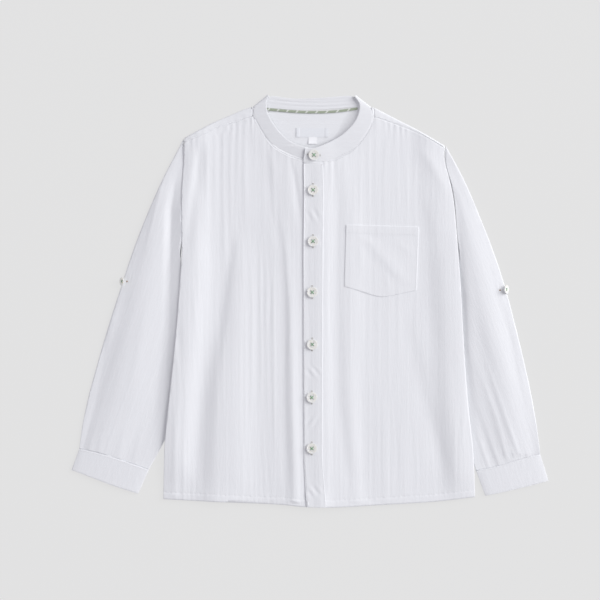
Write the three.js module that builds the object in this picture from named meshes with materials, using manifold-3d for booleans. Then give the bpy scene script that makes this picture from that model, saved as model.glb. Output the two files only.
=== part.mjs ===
// A child's long-sleeved shirt with a band collar, laid flat on its back on a table.
// Millimetres: +X runs to the viewer's right, +Y towards the collar, +Z up from the table.
// Each cut piece is one closed wall of cloth. The back lies on the table, the sleeves tuck
// a little way under its side seams, and the two fronts lie on it with the placket on top.
import * as THREE from "three";
import { mergeVertices } from "three/addons/utils/BufferGeometryUtils.js";
import Module from "manifold-3d";

const wasm = await Module();
wasm.setup();

const { clamp, degToRad, lerp, smoothstep } = THREE.MathUtils;

// Cloth walls and the gaps between pieces
const CLOTH = 1.0;
const COLLAR_WALL = 1.8;
const CUFF_WALL = 1.4;
const PLACKET_WALL = 1.2;
const POCKET_WALL = 0.8;
const LABEL_WALL = 0.6;
const GAP = 0.3;
const SEAM_HALF_GAP = 0.3;
const NECK_SEAM_GAP = 0.8;
const FACET_MARGIN = 0.15;

// How the pieces lie on each other
const PUFF = 1.3; // air between back and front in the middle of a panel
const CENTRE_PUFF_LOSS = 0.4; // and how much less of it lies under the placket
const CENTRE_PUFF_REACH = 35;
const ARMHOLE_RISE = 2.2; // the front's armhole edge over the back
const SLEEVE_RISE = 3.6; // both panels over the sleeve tucked under the side seam
const TUCK_REACH = 18; // how far in from the side seam the panels stay that high
const TUCK_FALL = 24; // and the width over which they come down again
const EDGE_PUFF_REACH = 12;
const COLLAR_RIM_RISE = 1.5;
const HEM_HEIGHT = 8.4;
const HEM_STEP = 0.5;

// Buttons
const BUTTON_RADIUS = 6.35;
const TAB_BUTTON_RADIUS = 5.2;
const BUTTON_SEGMENTS = 14;
const THREAD_HOLE_RADIUS = 0.75;
const THREAD_HOLE_OFFSET = 1.3;

const NECK_CENTRE = new THREE.Vector2(4, 205);
const PLACKET_TOP = 164.4;
const HEM_LEVEL = -240; // where the side tables end, about level with the hem
const UNDERLAP_EDGE = 14.5; // the left front's hidden centre edge
const BACK_YOKE_SEAM = 163.2;

const table = (columns, ...rows) =>
  rows.map((row) => Object.fromEntries(columns.map((name, i) => [name, row[i]])));

// Outlines of the laid garment, one row for each point that the shape needs
const leftSide = table(
  ["y", "x"],
  [195, -151],
  [170.5, -151],
  [133, -154],
  [109, -154],
  [65, -153.5],
  [21, -156],
  [-42, -161],
  [-119, -169],
  [-174, -174.5],
  [-240, -176],
);
const rightSide = table(
  ["y", "x"],
  [186, 162],
  [174, 160.5],
  [160, 162.5],
  [143.5, 168],
  [119, 172.5],
  [94.5, 174.5],
  [63.5, 177],
  [27, 180],
  [-42, 183.5],
  [-101, 187],
  [-137.5, 190],
  [-170, 194.5],
  [-240, 198],
);
const hem = table(
  ["x", "y"],
  [-176, -237.5],
  [-108, -241],
  [-36, -244],
  [-3.5, -247],
  [22, -247.5],
  [84, -244.5],
  [144, -241],
  [198, -235],
);
// The fold over the shoulders and, between its two stretches, the seam of the back neck
const shoulderFold = table(
  ["x", "y"],
  [-152, 195],
  [-120.5, 212],
  [-91.5, 224.5],
  [-68.5, 233],
  [-36, 230],
  [-12, 228.5],
  [12, 228.5],
  [42, 231.5],
  [73.5, 232.5],
  [92, 224],
  [112, 214],
  [135, 202],
  [162, 186],
);
const yokeSeam = table(
  ["x", "y"],
  [-152, 189.5],
  [-142, 194.5],
  [-123.5, 202],
  [-110, 208.5],
  [-93, 213.5],
  [-67, 221.5],
  [75, 220.5],
  [94, 215],
  [110.5, 209],
  [126, 203],
  [139.5, 196.5],
  [162, 183],
);
const leftNeckline = table(
  ["x", "y"],
  [-67, 221.5],
  [-63.5, 215],
  [-56.5, 202],
  [-46.5, 188],
  [-37, 180.5],
  [-24, 174],
  [-10, 169.5],
  [3, 167.5],
  [14, 167],
);
const rightNeckline = table(
  ["x", "y"],
  [75, 220.5],
  [74, 213],
  [69, 203],
  [59.5, 190],
  [48.5, 179.5],
  [33.5, 171],
  [16.5, 166.5],
  [3.5, 165.5],
  [-8, 165.5],
);

// The collar band as a ring of sections from its top end, round by the right shoulder, the
// back and the left shoulder, to its end under the first. Fold rows are its two creases.
const collarSections = table(
  ["layer", "baseX", "baseY", "rimX", "rimY"],
  ["front", -8.5, 165.5, -6, 183],
  ["front", 3.5, 165.5, 3.5, 182.8],
  ["front", 16.5, 166.5, 15, 186.5],
  ["front", 33.5, 171, 25.5, 191.5],
  ["front", 48.5, 179.5, 37.5, 198],
  ["front", 59.5, 190, 46.5, 206.5],
  ["front", 69, 203, 54, 215],
  ["front", 74, 213, 58, 224],
  ["front", 75, 220.5, 59.5, 231],
  ["front", 74.6, 226.5, 59.5, 237.5],
  ["fold", 73.5, 232.5, 55, 247],
  ["back", 66, 232.3, 49.5, 246.6],
  ["back", 42, 231.5, 33.5, 245.5],
  ["back", 12, 228.5, 12.5, 243.5],
  ["back", -12, 228.5, -12, 242.5],
  ["back", -36, 230, -29, 243.2],
  ["back", -61, 232.4, -44, 246.4],
  ["fold", -68.5, 233, -51, 247.5],
  ["front", -68.4, 227.5, -52.5, 241.5],
  ["front", -67, 221.5, -52.5, 235],
  ["front", -63.5, 215, -51.5, 225.5],
  ["front", -56.5, 202, -45, 213],
  ["front", -46.5, 188, -35, 200],
  ["front", -37, 180.5, -26, 192],
  ["front", -24, 174, -16.5, 187.5],
  ["front", -10, 169.5, -4.5, 184],
  ["under", 3, 167.5, 3.5, 183],
  ["under", 13, 167, 12, 184],
);

// Sleeve sections from the armhole to the cuff, each from the outer fold to the inner one
const leftSleeve = table(
  ["at", "outerX", "outerY", "innerX", "innerY", "crown"],
  [0, -152.2, 195, -154, 65, 0.4],
  [0.065, -163.5, 172.5, -155.6, 47, 1.4],
  [0.13, -175.5, 149.5, -153, 30, 2.2],
  [0.26, -195.5, 103.5, -149, -5, 3],
  [0.36, -209.5, 68.5, -147, -31, 3.2],
  [0.5, -227.5, 14.5, -148, -68.5, 3.2],
  [0.65, -245.5, -42, -156, -110.5, 3.2],
  [0.79, -260.5, -95, -166.5, -151, 3],
  [0.9, -272.5, -137.5, -181.5, -182, 2.2],
  [1, -276.5, -176.3, -193, -201.3, 1.6],
);
const rightSleeve = table(
  ["at", "outerX", "outerY", "innerX", "innerY", "crown"],
  [0, 162.5, 186, 177.5, 63.5, 0.4],
  [0.065, 174.5, 165, 178.7, 47, 1.4],
  [0.13, 186.5, 141.5, 178.5, 29, 2.2],
  [0.26, 205.5, 96, 176, -5.5, 3],
  [0.36, 220.5, 58, 172.5, -32.5, 3.2],
  [0.5, 236, 9.5, 170, -69.5, 3.2],
  [0.65, 251, -49, 175, -109, 3.2],
  [0.79, 263, -101, 182.5, -147.5, 3],
  [0.9, 271.5, -141.5, 190, -179, 2.2],
  [1, 275.5, -182.3, 198.5, -202.3, 1.6],
);
const leftCuff = table(
  ["share", "seamX", "seamY", "edgeX", "edgeY"],
  [0, -276.7, -177, -286, -202.5],
  [0.3, -256, -181.2, -261, -212],
  [0.6, -232, -188.5, -236, -221.5],
  [1, -193.2, -202, -206, -231],
);
const rightCuff = table(
  ["share", "seamX", "seamY", "edgeX", "edgeY"],
  [0, 275.8, -183, 286, -215.5],
  [0.35, 249, -190.6, 259, -222.6],
  [0.7, 222, -198.4, 232, -229],
  [1, 198.7, -203, 210, -233.5],
);

const placketEdges = table(
  ["y", "left", "right"],
  [165, -7.5, 15.5],
  [133, -7, 16.5],
  [36, -8.5, 15.5],
  [-185, -7.5, 15],
  [-216, -6, 17.5],
  [-250, -3, 20],
);
const pocket = {
  topLeft: [43, 91.5],
  topRight: [130.5, 89],
  bottomRight: [127.5, 12.5],
  tip: [85, 4],
  bottomLeft: [41, 17.5],
  hemHeight: 9.6,
};
const buttonPlaces = table(
  ["name", "x", "y"],
  ["collar_button", 4.5, 175],
  ["placket_button_1", 3.5, 133],
  ["placket_button_2", 3.5, 71.5],
  ["placket_button_3", 2.5, 10.5],
  ["placket_button_4", 2.5, -52],
  ["placket_button_5", 2, -115.5],
  ["placket_button_6", 2, -176.5],
);
const tabButtonPlaces = table(
  ["name", "x", "y", "z", "lean"],
  ["sleeve_button_left", -224.2, 23.5, 5.2, -72],
  ["sleeve_button_right", 234.1, 14, 5.2, 72],
);

// Folds: a soft ridge, or a trough where the height is negative, from one point to another
const foldColumns = ["x", "y", "toX", "toY", "width", "height"];
const bodyFolds = table(
  foldColumns,
  [-142.5, 176, -142.5, 118, 6, 0.8],
  [-128, 180, -134.5, 114, 6, -0.7],
  [-92, 68.5, -108, -55, 9, -0.8],
  [-128.5, -90, -128.5, -215, 15, -1.1],
  [-86.5, 61, -84, -227, 13, 0.8],
  [-47, 150, -33.5, 62, 7, -0.6],
  [-31.5, 50, -27.5, -215, 7, -0.8],
  [34.5, 138, 36, -119, 7, -1.1],
  [37, -119, 50.5, -218, 7, -1.1],
  [52, 121, 53, -200, 8, 0.8],
  [128.5, 170, 158, 121, 7, -0.8],
  [146, 165, 163, 125, 6, 0.6],
  [114.5, -20.5, 138, -119, 9, -0.7],
  [138, -119, 160.5, -205, 10, -0.8],
);
const sleeveFolds = table(
  foldColumns,
  [-160, 160, -170.5, 68.5, 8, 0.7],
  [-219, 5, -242.5, -92.5, 6, -0.9],
  [-242.5, -92.5, -262, -165, 6, -1],
  [206, -50, 226, -150, 5, -0.7],
  [217, -60, 238, -150, 5, -0.7],
  [228, 5, 251.5, -90, 7, -0.8],
);
const FOLD_FADE = 14;

// Gathers: how many stand along each seam, their height and how far they run from it
const SHOULDER_GATHERS = 11;
const NECK_COLUMNS = 12;
const NECK_GATHER_COLUMNS = 8;
const GATHER_HEIGHT = 0.3;
const GATHER_RUN = 14;
const CUFF_GATHERS = 5;
const CUFF_GATHER_HEIGHT = 0.4;
const CUFF_GATHER_RUN = 18;

const material = (name, color, roughness) =>
  Object.assign(new THREE.MeshStandardMaterial({ color, roughness, metalness: 0 }), { name });
const shirting = material("shirting", 0xe6e7ec, 0.85);
const tapeCloth = material("neck_tape", 0x8f9a86, 0.8);
const labelCloth = material("label", 0xeceef1, 0.7);
const buttonShell = material("button", 0xe4e4dc, 0.3);

// Value as a smooth function of key through a table's rows, with no overshoot between them
function through(rows, key, value) {
  const sorted = [...rows].sort((a, b) => a[key] - b[key]);
  const at = sorted.map((row) => row[key]);
  const to = sorted.map((row) => row[value]);
  const slopes = at.slice(1).map((stop, i) => (to[i + 1] - to[i]) / (stop - at[i]));
  const tangents = at.map((_, i) => {
    const before = slopes[Math.max(i - 1, 0)];
    const after = slopes[Math.min(i, slopes.length - 1)];
    return before * after <= 0 ? 0 : (2 * before * after) / (before + after);
  });
  return (x) => {
    const held = clamp(x, at[0], at[at.length - 1]);
    const i = Math.max(at.findIndex((stop) => stop >= held), 1);
    const span = at[i] - at[i - 1];
    const t = (held - at[i - 1]) / span;
    const rise = to[i] - to[i - 1];
    const start = tangents[i - 1] * span;
    const end = tangents[i] * span;
    return to[i - 1] + t * start + t * t * (3 * rise - 2 * start - end)
      + t * t * t * (start + end - 2 * rise);
  };
}

const leftEdgeAt = through(leftSide, "y", "x");
const rightEdgeAt = through(rightSide, "y", "x");
const hemAt = through(hem, "x", "y");
const shoulderAt = through(shoulderFold, "x", "y");
const yokeSeamAt = through(yokeSeam, "x", "y");
const placketLeftAt = through(placketEdges, "y", "left");
const placketRightAt = through(placketEdges, "y", "right");

const splineOf = (rows) =>
  new THREE.SplineCurve(rows.map((row) => new THREE.Vector2(row.x, row.y)));

function foldsAt(folds, x, y) {
  let height = 0;
  for (const fold of folds) {
    const run = new THREE.Vector2(fold.toX - fold.x, fold.toY - fold.y);
    const length = run.length();
    const along = ((x - fold.x) * run.x + (y - fold.y) * run.y) / length;
    const across = ((x - fold.x) * run.y - (y - fold.y) * run.x) / length;
    const fadeIn = smoothstep(along, -FOLD_FADE, FOLD_FADE);
    const fadeOut = 1 - smoothstep(along, length - FOLD_FADE, length + FOLD_FADE);
    height += fold.height * fadeIn * fadeOut * Math.exp(-((across / fold.width) ** 2));
  }
  return height;
}

// How high the sleeve tucked under each side seam lifts the back: all the way from just
// below the underarm to where the sleeve comes out again.
const tucks = {
  left: { underarm: 66, out: -180 },
  right: { underarm: 66, out: -199 },
};
const TUCK_START_RUN = 16;
const TUCK_END_RUN = 38;
const FRONT_LEAD = 10;

// The front rises a little before the back does, and comes down a little after it.
function tuckLift(side, y, lead = 0) {
  const { underarm, out } = tucks[side];
  const starts = 1 - smoothstep(y, underarm - TUCK_START_RUN + lead, underarm + lead);
  const ends = smoothstep(y, out - TUCK_END_RUN - lead, out - lead);
  return SLEEVE_RISE * starts * ends;
}

const inward = (inset) => 1 - smoothstep(inset, TUCK_REACH, TUCK_REACH + TUCK_FALL);
const insets = (x, y) => ({ left: x - leftEdgeAt(y), right: rightEdgeAt(y) - x });

// The under faces of the laid cloth, as heights over the table
function backUnder(x, y) {
  const inset = insets(x, y);
  return Math.max(
    tuckLift("left", y) * inward(inset.left),
    tuckLift("right", y) * inward(inset.right),
  );
}

function frontUnder(x, y) {
  const inset = insets(x, y);
  const nearest = Math.min(inset.left, inset.right);
  const side = inset.left < inset.right ? "left" : "right";
  const armhole = ARMHOLE_RISE * smoothstep(y, 20, 58);
  const lift = Math.max(armhole, tuckLift(side, y, FRONT_LEAD)) * inward(nearest);
  const loss = CENTRE_PUFF_LOSS * Math.exp(-((x / CENTRE_PUFF_REACH) ** 2));
  const drape = Math.max(PUFF - loss + foldsAt(bodyFolds, x, y), FACET_MARGIN);
  const fromEdge = 1 - Math.exp(-Math.max(nearest, 0) / EDGE_PUFF_REACH);
  return CLOTH + GAP + FACET_MARGIN + lift + drape * fromEdge;
}

// The fronts' hems are a step thicker, and what lies on them steps up with them
const HEM_STEP_RUN = 14;
const hemStepAt = (x, y) =>
  HEM_STEP * (1 - smoothstep(y - hemAt(x), HEM_HEIGHT, HEM_HEIGHT + HEM_STEP_RUN));

// The right front also climbs over the left front's hidden edge
const OVERLAP_FALL = 14;
function rightFrontUnder(x, y) {
  const over = 1 - smoothstep(x, UNDERLAP_EDGE + 1, UNDERLAP_EDGE + 1 + OVERLAP_FALL);
  return frontUnder(x, y) + (CLOTH + GAP + FACET_MARGIN + hemStepAt(x, y)) * over;
}
const rightFrontTop = (x, y) => rightFrontUnder(x, y) + CLOTH;
const placketTop = (x, y) => rightFrontTop(x, y) + GAP + FACET_MARGIN + PLACKET_WALL;

// A closed wall between two grids of points of the same size. A grid that wraps joins its
// last column to its first.
function wallBetween(upper, lower, wraps = false) {
  const rows = upper.length;
  const columns = upper[0].length;
  const points = [...upper.flat(), ...lower.flat()];
  const top = (i, j) => i * columns + (j % columns);
  const under = (i, j) => rows * columns + top(i, j);
  const index = [];
  const quad = (a, b, c, d) => index.push(a, b, c, a, c, d);
  const across = wraps ? columns : columns - 1;
  for (let i = 0; i < rows - 1; i++) {
    for (let j = 0; j < across; j++) {
      quad(top(i, j), top(i + 1, j), top(i + 1, j + 1), top(i, j + 1));
      quad(under(i, j), under(i, j + 1), under(i + 1, j + 1), under(i + 1, j));
    }
    if (wraps) continue;
    const last = columns - 1;
    quad(top(i + 1, 0), top(i, 0), under(i, 0), under(i + 1, 0));
    quad(top(i, last), top(i + 1, last), under(i + 1, last), under(i, last));
  }
  for (let j = 0; j < across; j++) {
    const last = rows - 1;
    quad(top(0, j), top(0, j + 1), under(0, j + 1), under(0, j));
    quad(top(last, j + 1), top(last, j), under(last, j), under(last, j + 1));
  }
  const geometry = new THREE.BufferGeometry().setFromPoints(points);
  geometry.setIndex(enclosed(points, index) < 0 ? index.reverse() : index);
  geometry.computeVertexNormals();
  return geometry;
}

// Six times the volume that the triangles enclose, negative where they face in
function enclosed(points, index) {
  let volume = 0;
  const normal = new THREE.Vector3();
  for (let i = 0; i < index.length; i += 3) {
    const [a, b, c] = [points[index[i]], points[index[i + 1]], points[index[i + 2]]];
    volume += a.dot(normal.crossVectors(b, c));
  }
  return volume;
}

// A wall that lies flat: plan(u, v) gives its points, under and wall their heights
function laidWall(us, vs, plan, under, wall) {
  const grid = (height) =>
    us.map((u, i) =>
      vs.map((v) => {
        const { x, y } = plan(u, v, i);
        return new THREE.Vector3(x, y, height(x, y, i, v));
      }),
    );
  const wallAt = typeof wall === "function" ? wall : () => wall;
  const low = (x, y) => under(x, y);
  const high = (x, y, i, v) => under(x, y) + wallAt(x, y, i, v);
  return wallBetween(grid(high), grid(low));
}

const spread = (count) => Array.from({ length: count + 1 }, (_, i) => i / count);

function solidOf(geometry) {
  const bare = new THREE.BufferGeometry()
    .setAttribute("position", geometry.getAttribute("position").clone())
    .setIndex(geometry.index);
  const merged = mergeVertices(bare, 1e-4);
  return new wasm.Manifold(
    new wasm.Mesh({
      numProp: 3,
      vertProperties: new Float32Array(merged.getAttribute("position").array),
      triVerts: new Uint32Array(merged.index.array),
    }),
  );
}

function geometryOf(solid) {
  const mesh = solid.getMesh();
  const geometry = new THREE.BufferGeometry();
  geometry.setAttribute("position", new THREE.BufferAttribute(mesh.vertProperties, 3));
  geometry.setIndex(new THREE.BufferAttribute(mesh.triVerts, 1));
  geometry.computeVertexNormals();
  return geometry;
}

// Back panel: from the back yoke seam to its own hem, just short of the front's
const BACK_SHARES = [0, 0.03, 0.06, 0.09, 0.12, 0.2, 0.33, 0.5, 0.67, 0.8, 0.88, 0.91, 0.94, 0.97, 1];
const BACK_ROWS = [
  0, 0.1, 0.18, 0.235, 0.25, 0.265, 0.28, 0.295, 0.36, 0.5, 0.65, 0.77, 0.84, 0.87, 0.9, 0.92,
  0.94, 0.97, 1,
];
const BACK_HEM_SHORT = 1.5;

function backPanel() {
  const top = BACK_YOKE_SEAM - SEAM_HALF_GAP;
  const plan = (share, down) => {
    const level = lerp(top, HEM_LEVEL, down);
    const x = lerp(leftEdgeAt(level), rightEdgeAt(level), share);
    return { x, y: lerp(top, hemAt(x) + BACK_HEM_SHORT, down) };
  };
  return laidWall(BACK_SHARES, BACK_ROWS, plan, backUnder, CLOTH);
}

// The top edge of a front: along the yoke seam, then round the neckline to the centre
function frontTopEdge(neckline, fromX, toX) {
  const points = [];
  const shoulderCells = 2 * SHOULDER_GATHERS;
  for (let i = 0; i < shoulderCells; i++) {
    const x = lerp(fromX, toX, i / shoulderCells);
    points.push(new THREE.Vector2(x, yokeSeamAt(x) - SEAM_HALF_GAP));
  }
  const neck = splineOf(neckline);
  for (const share of spread(NECK_COLUMNS)) {
    const point = neck.getPointAt(share);
    const away = point.clone().sub(NECK_CENTRE).setLength(NECK_SEAM_GAP);
    points.push(point.add(away));
  }
  return points;
}

const FRONT_ROWS = [
  0, 0.012, 0.03, 0.055, 0.09, 0.14, 0.2, 0.25, 0.29, 0.33, 0.39, 0.46, 0.53, 0.6, 0.68, 0.76,
  0.83, 0.88, 0.92, 0.95,
];
const FRONT_LENGTH = 410; // at the centre
const COLUMNS_EVEN_OUT = 0.5; // share of the length by which the columns are evenly spaced

// A front: columns run from its top edge to its hem, rows from its side to its centre edge
function frontPanel(topEdge, sideAt, centreAt, underAt) {
  const columns = topEdge.length - 1;
  const hemBand = [1 - HEM_HEIGHT / FRONT_LENGTH, 1 - (HEM_HEIGHT - 1) / FRONT_LENGTH, 1];
  const shareOf = (point) => {
    const side = sideAt(point.y);
    return (point.x - side) / (centreAt(point.y) - side);
  };
  const plan = (u, down, column) => {
    const start = topEdge[column];
    const share = lerp(shareOf(start), u, smoothstep(down, 0, COLUMNS_EVEN_OUT));
    const bottom = hemAt(lerp(sideAt(HEM_LEVEL), centreAt(HEM_LEVEL), share));
    const y = lerp(start.y, bottom, down);
    return { x: lerp(sideAt(y), centreAt(y), share), y };
  };
  const gather = (column, y) => {
    const inNeck = column >= 2 * SHOULDER_GATHERS;
    const gathered = !inNeck || column > columns - NECK_GATHER_COLUMNS;
    if (!gathered || column === 0 || column === columns) return 0;
    const run = topEdge[column].y - y;
    return (column % 2 ? GATHER_HEIGHT : -GATHER_HEIGHT / 2) * Math.exp(-run / GATHER_RUN);
  };
  const wall = (x, y, column, down) =>
    CLOTH + (down > hemBand[0] ? HEM_STEP : 0) + gather(column, y);
  const vs = [...FRONT_ROWS, ...hemBand];
  return laidWall(spread(columns), vs, plan, underAt, wall);
}

const leftFront = () =>
  frontPanel(
    frontTopEdge(leftNeckline, leftEdgeAt(190), leftNeckline[0].x),
    leftEdgeAt,
    () => UNDERLAP_EDGE,
    frontUnder,
  );
const PLACKET_OVERHANG = 1;
const rightFront = () =>
  frontPanel(
    frontTopEdge(rightNeckline, rightEdgeAt(183), rightNeckline[0].x),
    rightEdgeAt,
    (y) => placketLeftAt(y) + PLACKET_OVERHANG,
    rightFrontUnder,
  );

// Yoke: a flat plate behind, folded over both shoulders to the front yoke seams
const YOKE_PLATE_COLUMNS = 22;
const YOKE_FOLD_STEPS = 6;
const YOKE_STATIONS = 9;
const YOKE_OVERLAP = 3;
const YOKE_ENDS = { left: -150.6, right: 161.6 };
const STRIP_NECK_GAP = 0.7;
const NECK_CORNERS = { left: -68.5, right: 73.5 };
const NECK_CORNER_DROP = 4.2;
const NECK_CORNER_RUN = 14;

function yokePlate() {
  const plan = (u, v) => {
    const straight = lerp(YOKE_ENDS.left, YOKE_ENDS.right, u);
    const fromCorner = Math.min(straight - NECK_CORNERS.left, NECK_CORNERS.right - straight);
    const corner = NECK_CORNER_DROP * clamp(1 - fromCorner / NECK_CORNER_RUN, 0, 1);
    const drop = fromCorner > -1 ? 2 * SEAM_HALF_GAP + corner : YOKE_OVERLAP / 2;
    const y = lerp(BACK_YOKE_SEAM + SEAM_HALF_GAP, shoulderAt(straight) - drop, v);
    const x = clamp(straight, leftEdgeAt(y) + 0.1, rightEdgeAt(y) - 0.1);
    return { x, y };
  };
  return laidWall(spread(YOKE_PLATE_COLUMNS), spread(2), plan, () => 0, CLOTH);
}

// The profile of the shoulder fold at x, in (y, z), along the middle of the cloth
function shoulderProfile(x) {
  const low = CLOTH / 2;
  const high = frontUnder(x, shoulderAt(x) - 3) + CLOTH / 2;
  const radius = (high - low) / 2;
  const centreY = shoulderAt(x) - radius - CLOTH / 2;
  const profile = [[centreY - 2 * YOKE_OVERLAP, low], [centreY - YOKE_OVERLAP / 2, low]];
  for (const step of spread(YOKE_FOLD_STEPS)) {
    const angle = lerp(-Math.PI / 2, Math.PI / 2, step);
    profile.push([centreY + radius * Math.cos(angle), low + radius * (1 + Math.sin(angle))]);
  }
  const seam = yokeSeamAt(x) + SEAM_HALF_GAP;
  for (const step of [1 / 3, 2 / 3, 1]) {
    const y = lerp(Math.max(centreY, seam + 0.6), seam, step);
    profile.push([y, frontUnder(x, y) + CLOTH / 2]);
  }
  return profile;
}

// Points half a wall to each side of a line of [y, z] pairs
function thickened(line, x, half) {
  return [1, -1].map((sign) =>
    line.map(([y, z], i) => {
      const [fromY, fromZ] = line[Math.max(i - 1, 0)];
      const [toY, toZ] = line[Math.min(i + 1, line.length - 1)];
      const length = Math.hypot(toY - fromY, toZ - fromZ);
      const out = (sign * half) / length;
      return new THREE.Vector3(x, y + (toZ - fromZ) * out, z - (toY - fromY) * out);
    }),
  );
}

function shoulderStrip(fromX, toX) {
  const sections = spread(YOKE_STATIONS).map((share) => {
    const x = lerp(fromX, toX, share);
    return thickened(shoulderProfile(x), x, CLOTH / 2);
  });
  return wallBetween(sections.map((section) => section[0]), sections.map((section) => section[1]));
}

function yoke() {
  const left = shoulderStrip(YOKE_ENDS.left, NECK_CORNERS.left - STRIP_NECK_GAP);
  const rightStart = rightNeckline[0].x + 2 * STRIP_NECK_GAP;
  const right = shoulderStrip(rightStart, YOKE_ENDS.right - STRIP_NECK_GAP);
  return geometryOf(solidOf(yokePlate()).add(solidOf(left)).add(solidOf(right)));
}

// Collar band
const COLLAR_FOLD_STEPS = 6;
const COLLAR_ACROSS = 2;

// How far the top end of the collar lies over the other end
function collarOverlap(x, layer) {
  const over = 1 - smoothstep(x, UNDERLAP_EDGE, UNDERLAP_EDGE + 26);
  return layer === "front" && x > -9 ? (COLLAR_WALL + GAP + 2 * FACET_MARGIN) * over : 0;
}

// Each section's middle line, from the seam to the rim
function collarMiddle() {
  const backLevel = COLLAR_WALL / 2 + FACET_MARGIN;
  const seamLevel = (row) =>
    frontUnder(row.baseX, row.baseY) + COLLAR_WALL / 2 + collarOverlap(row.baseX, row.layer);
  const sections = [];
  for (const row of collarSections) {
    const base = new THREE.Vector3(row.baseX, row.baseY, 0);
    const rim = new THREE.Vector3(row.rimX, row.rimY, 0);
    if (row.layer === "fold") {
      const rising = row.baseX < 0;
      const across = rim.clone().sub(base).normalize();
      const outward = new THREE.Vector3(-across.y, across.x, 0);
      outward.multiplyScalar(Math.sign(outward.y));
      for (const step of spread(COLLAR_FOLD_STEPS)) {
        const angle = lerp(-Math.PI / 2, Math.PI / 2, rising ? step : 1 - step);
        const turned = [base, rim].map((point, end) => {
          const high = seamLevel({ ...row, layer: "fold" }) + end * COLLAR_RIM_RISE;
          const radius = (high - backLevel) / 2;
          const away = radius * (Math.cos(angle) - 1) - COLLAR_WALL / 2;
          return point.clone().addScaledVector(outward, away)
            .setZ(backLevel + radius * (1 + Math.sin(angle)));
        });
        sections.push(turned);
      }
      continue;
    }
    const flat = row.layer === "back";
    base.z = flat ? backLevel : seamLevel(row);
    rim.z = base.z + (flat ? 0 : COLLAR_RIM_RISE);
    sections.push([base, rim]);
  }
  return sections;
}

function collarBand() {
  const middle = collarMiddle();
  const grid = (side) =>
    middle.map(([base, rim], i) => {
      const before = middle[Math.max(i - 1, 0)];
      const after = middle[Math.min(i + 1, middle.length - 1)];
      return spread(COLLAR_ACROSS).map((share) => {
        const from = before[0].clone().lerp(before[1], share);
        const to = after[0].clone().lerp(after[1], share);
        const across = rim.clone().sub(base);
        const normal = to.sub(from).cross(across).normalize();
        const point = base.clone().lerp(rim, share);
        return point.addScaledVector(normal, (side * COLLAR_WALL) / 2);
      });
    });
  return wallBetween(grid(1), grid(-1));
}

// Neck tape, sewn over the back neck seam on the inside
const TAPE_HEIGHT = 3.2;
const TAPE_REACH = { from: -60, to: 66 };

function neckTape() {
  const plan = (u, v) => {
    const x = lerp(TAPE_REACH.from, TAPE_REACH.to, u);
    const top = shoulderAt(x) - 4 * SEAM_HALF_GAP;
    return { x, y: top - v * TAPE_HEIGHT };
  };
  return laidWall(spread(14), spread(1), plan, () => CLOTH + GAP, LABEL_WALL);
}

function flatLabel(fromX, toX, fromY, toY) {
  const plan = (u, v) => ({ x: lerp(fromX, toX, u), y: lerp(fromY, toY, v) });
  return laidWall(spread(3), spread(2), plan, () => CLOTH + GAP, LABEL_WALL);
}

function placket() {
  const plan = (u, v) => {
    const level = lerp(PLACKET_TOP, HEM_LEVEL, v);
    const x = lerp(placketLeftAt(level), placketRightAt(level), u);
    return { x, y: lerp(PLACKET_TOP, hemAt(x), v) };
  };
  const under = (x, y) => rightFrontTop(x, y) + GAP + FACET_MARGIN + hemStepAt(x, y);
  return laidWall(spread(3), spread(30), plan, under, PLACKET_WALL);
}

function patchPocket() {
  const bottomAt = (u) => {
    const tipShare = (pocket.tip[0] - pocket.bottomLeft[0])
      / (pocket.bottomRight[0] - pocket.bottomLeft[0]);
    const from = u < tipShare ? pocket.bottomLeft : pocket.tip;
    const to = u < tipShare ? pocket.tip : pocket.bottomRight;
    const share = u < tipShare ? u / tipShare : (u - tipShare) / (1 - tipShare);
    return { x: lerp(from[0], to[0], share), y: lerp(from[1], to[1], share) };
  };
  const plan = (u, v) => {
    const bottom = bottomAt(u);
    return {
      x: lerp(lerp(pocket.topLeft[0], pocket.topRight[0], u), bottom.x, v),
      y: lerp(lerp(pocket.topLeft[1], pocket.topRight[1], u), bottom.y, v),
    };
  };
  const hemShare = pocket.hemHeight / (pocket.topLeft[1] - pocket.bottomLeft[1]);
  const rows = [0, hemShare - 0.01, hemShare + 0.01, 0.25, 0.4, 0.55, 0.7, 0.85, 1];
  const under = (x, y) => rightFrontTop(x, y) + GAP + FACET_MARGIN;
  const wall = (x, y, i, v) => POCKET_WALL + (v < hemShare ? LABEL_WALL / 2 : 0);
  return laidWall(spread(8), rows, plan, under, wall);
}

// A flattened tube of cloth. Each ring runs over its upper layer from the outer to the
// inner fold, and back along the lower layer.
const FOLD_EDGE_RISE = 0.7;
const FOLD_EDGE_INSET = 0.8;
const HOLLOW_EASE = 6; // how sharply the hollow draws in towards the inner fold

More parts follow.
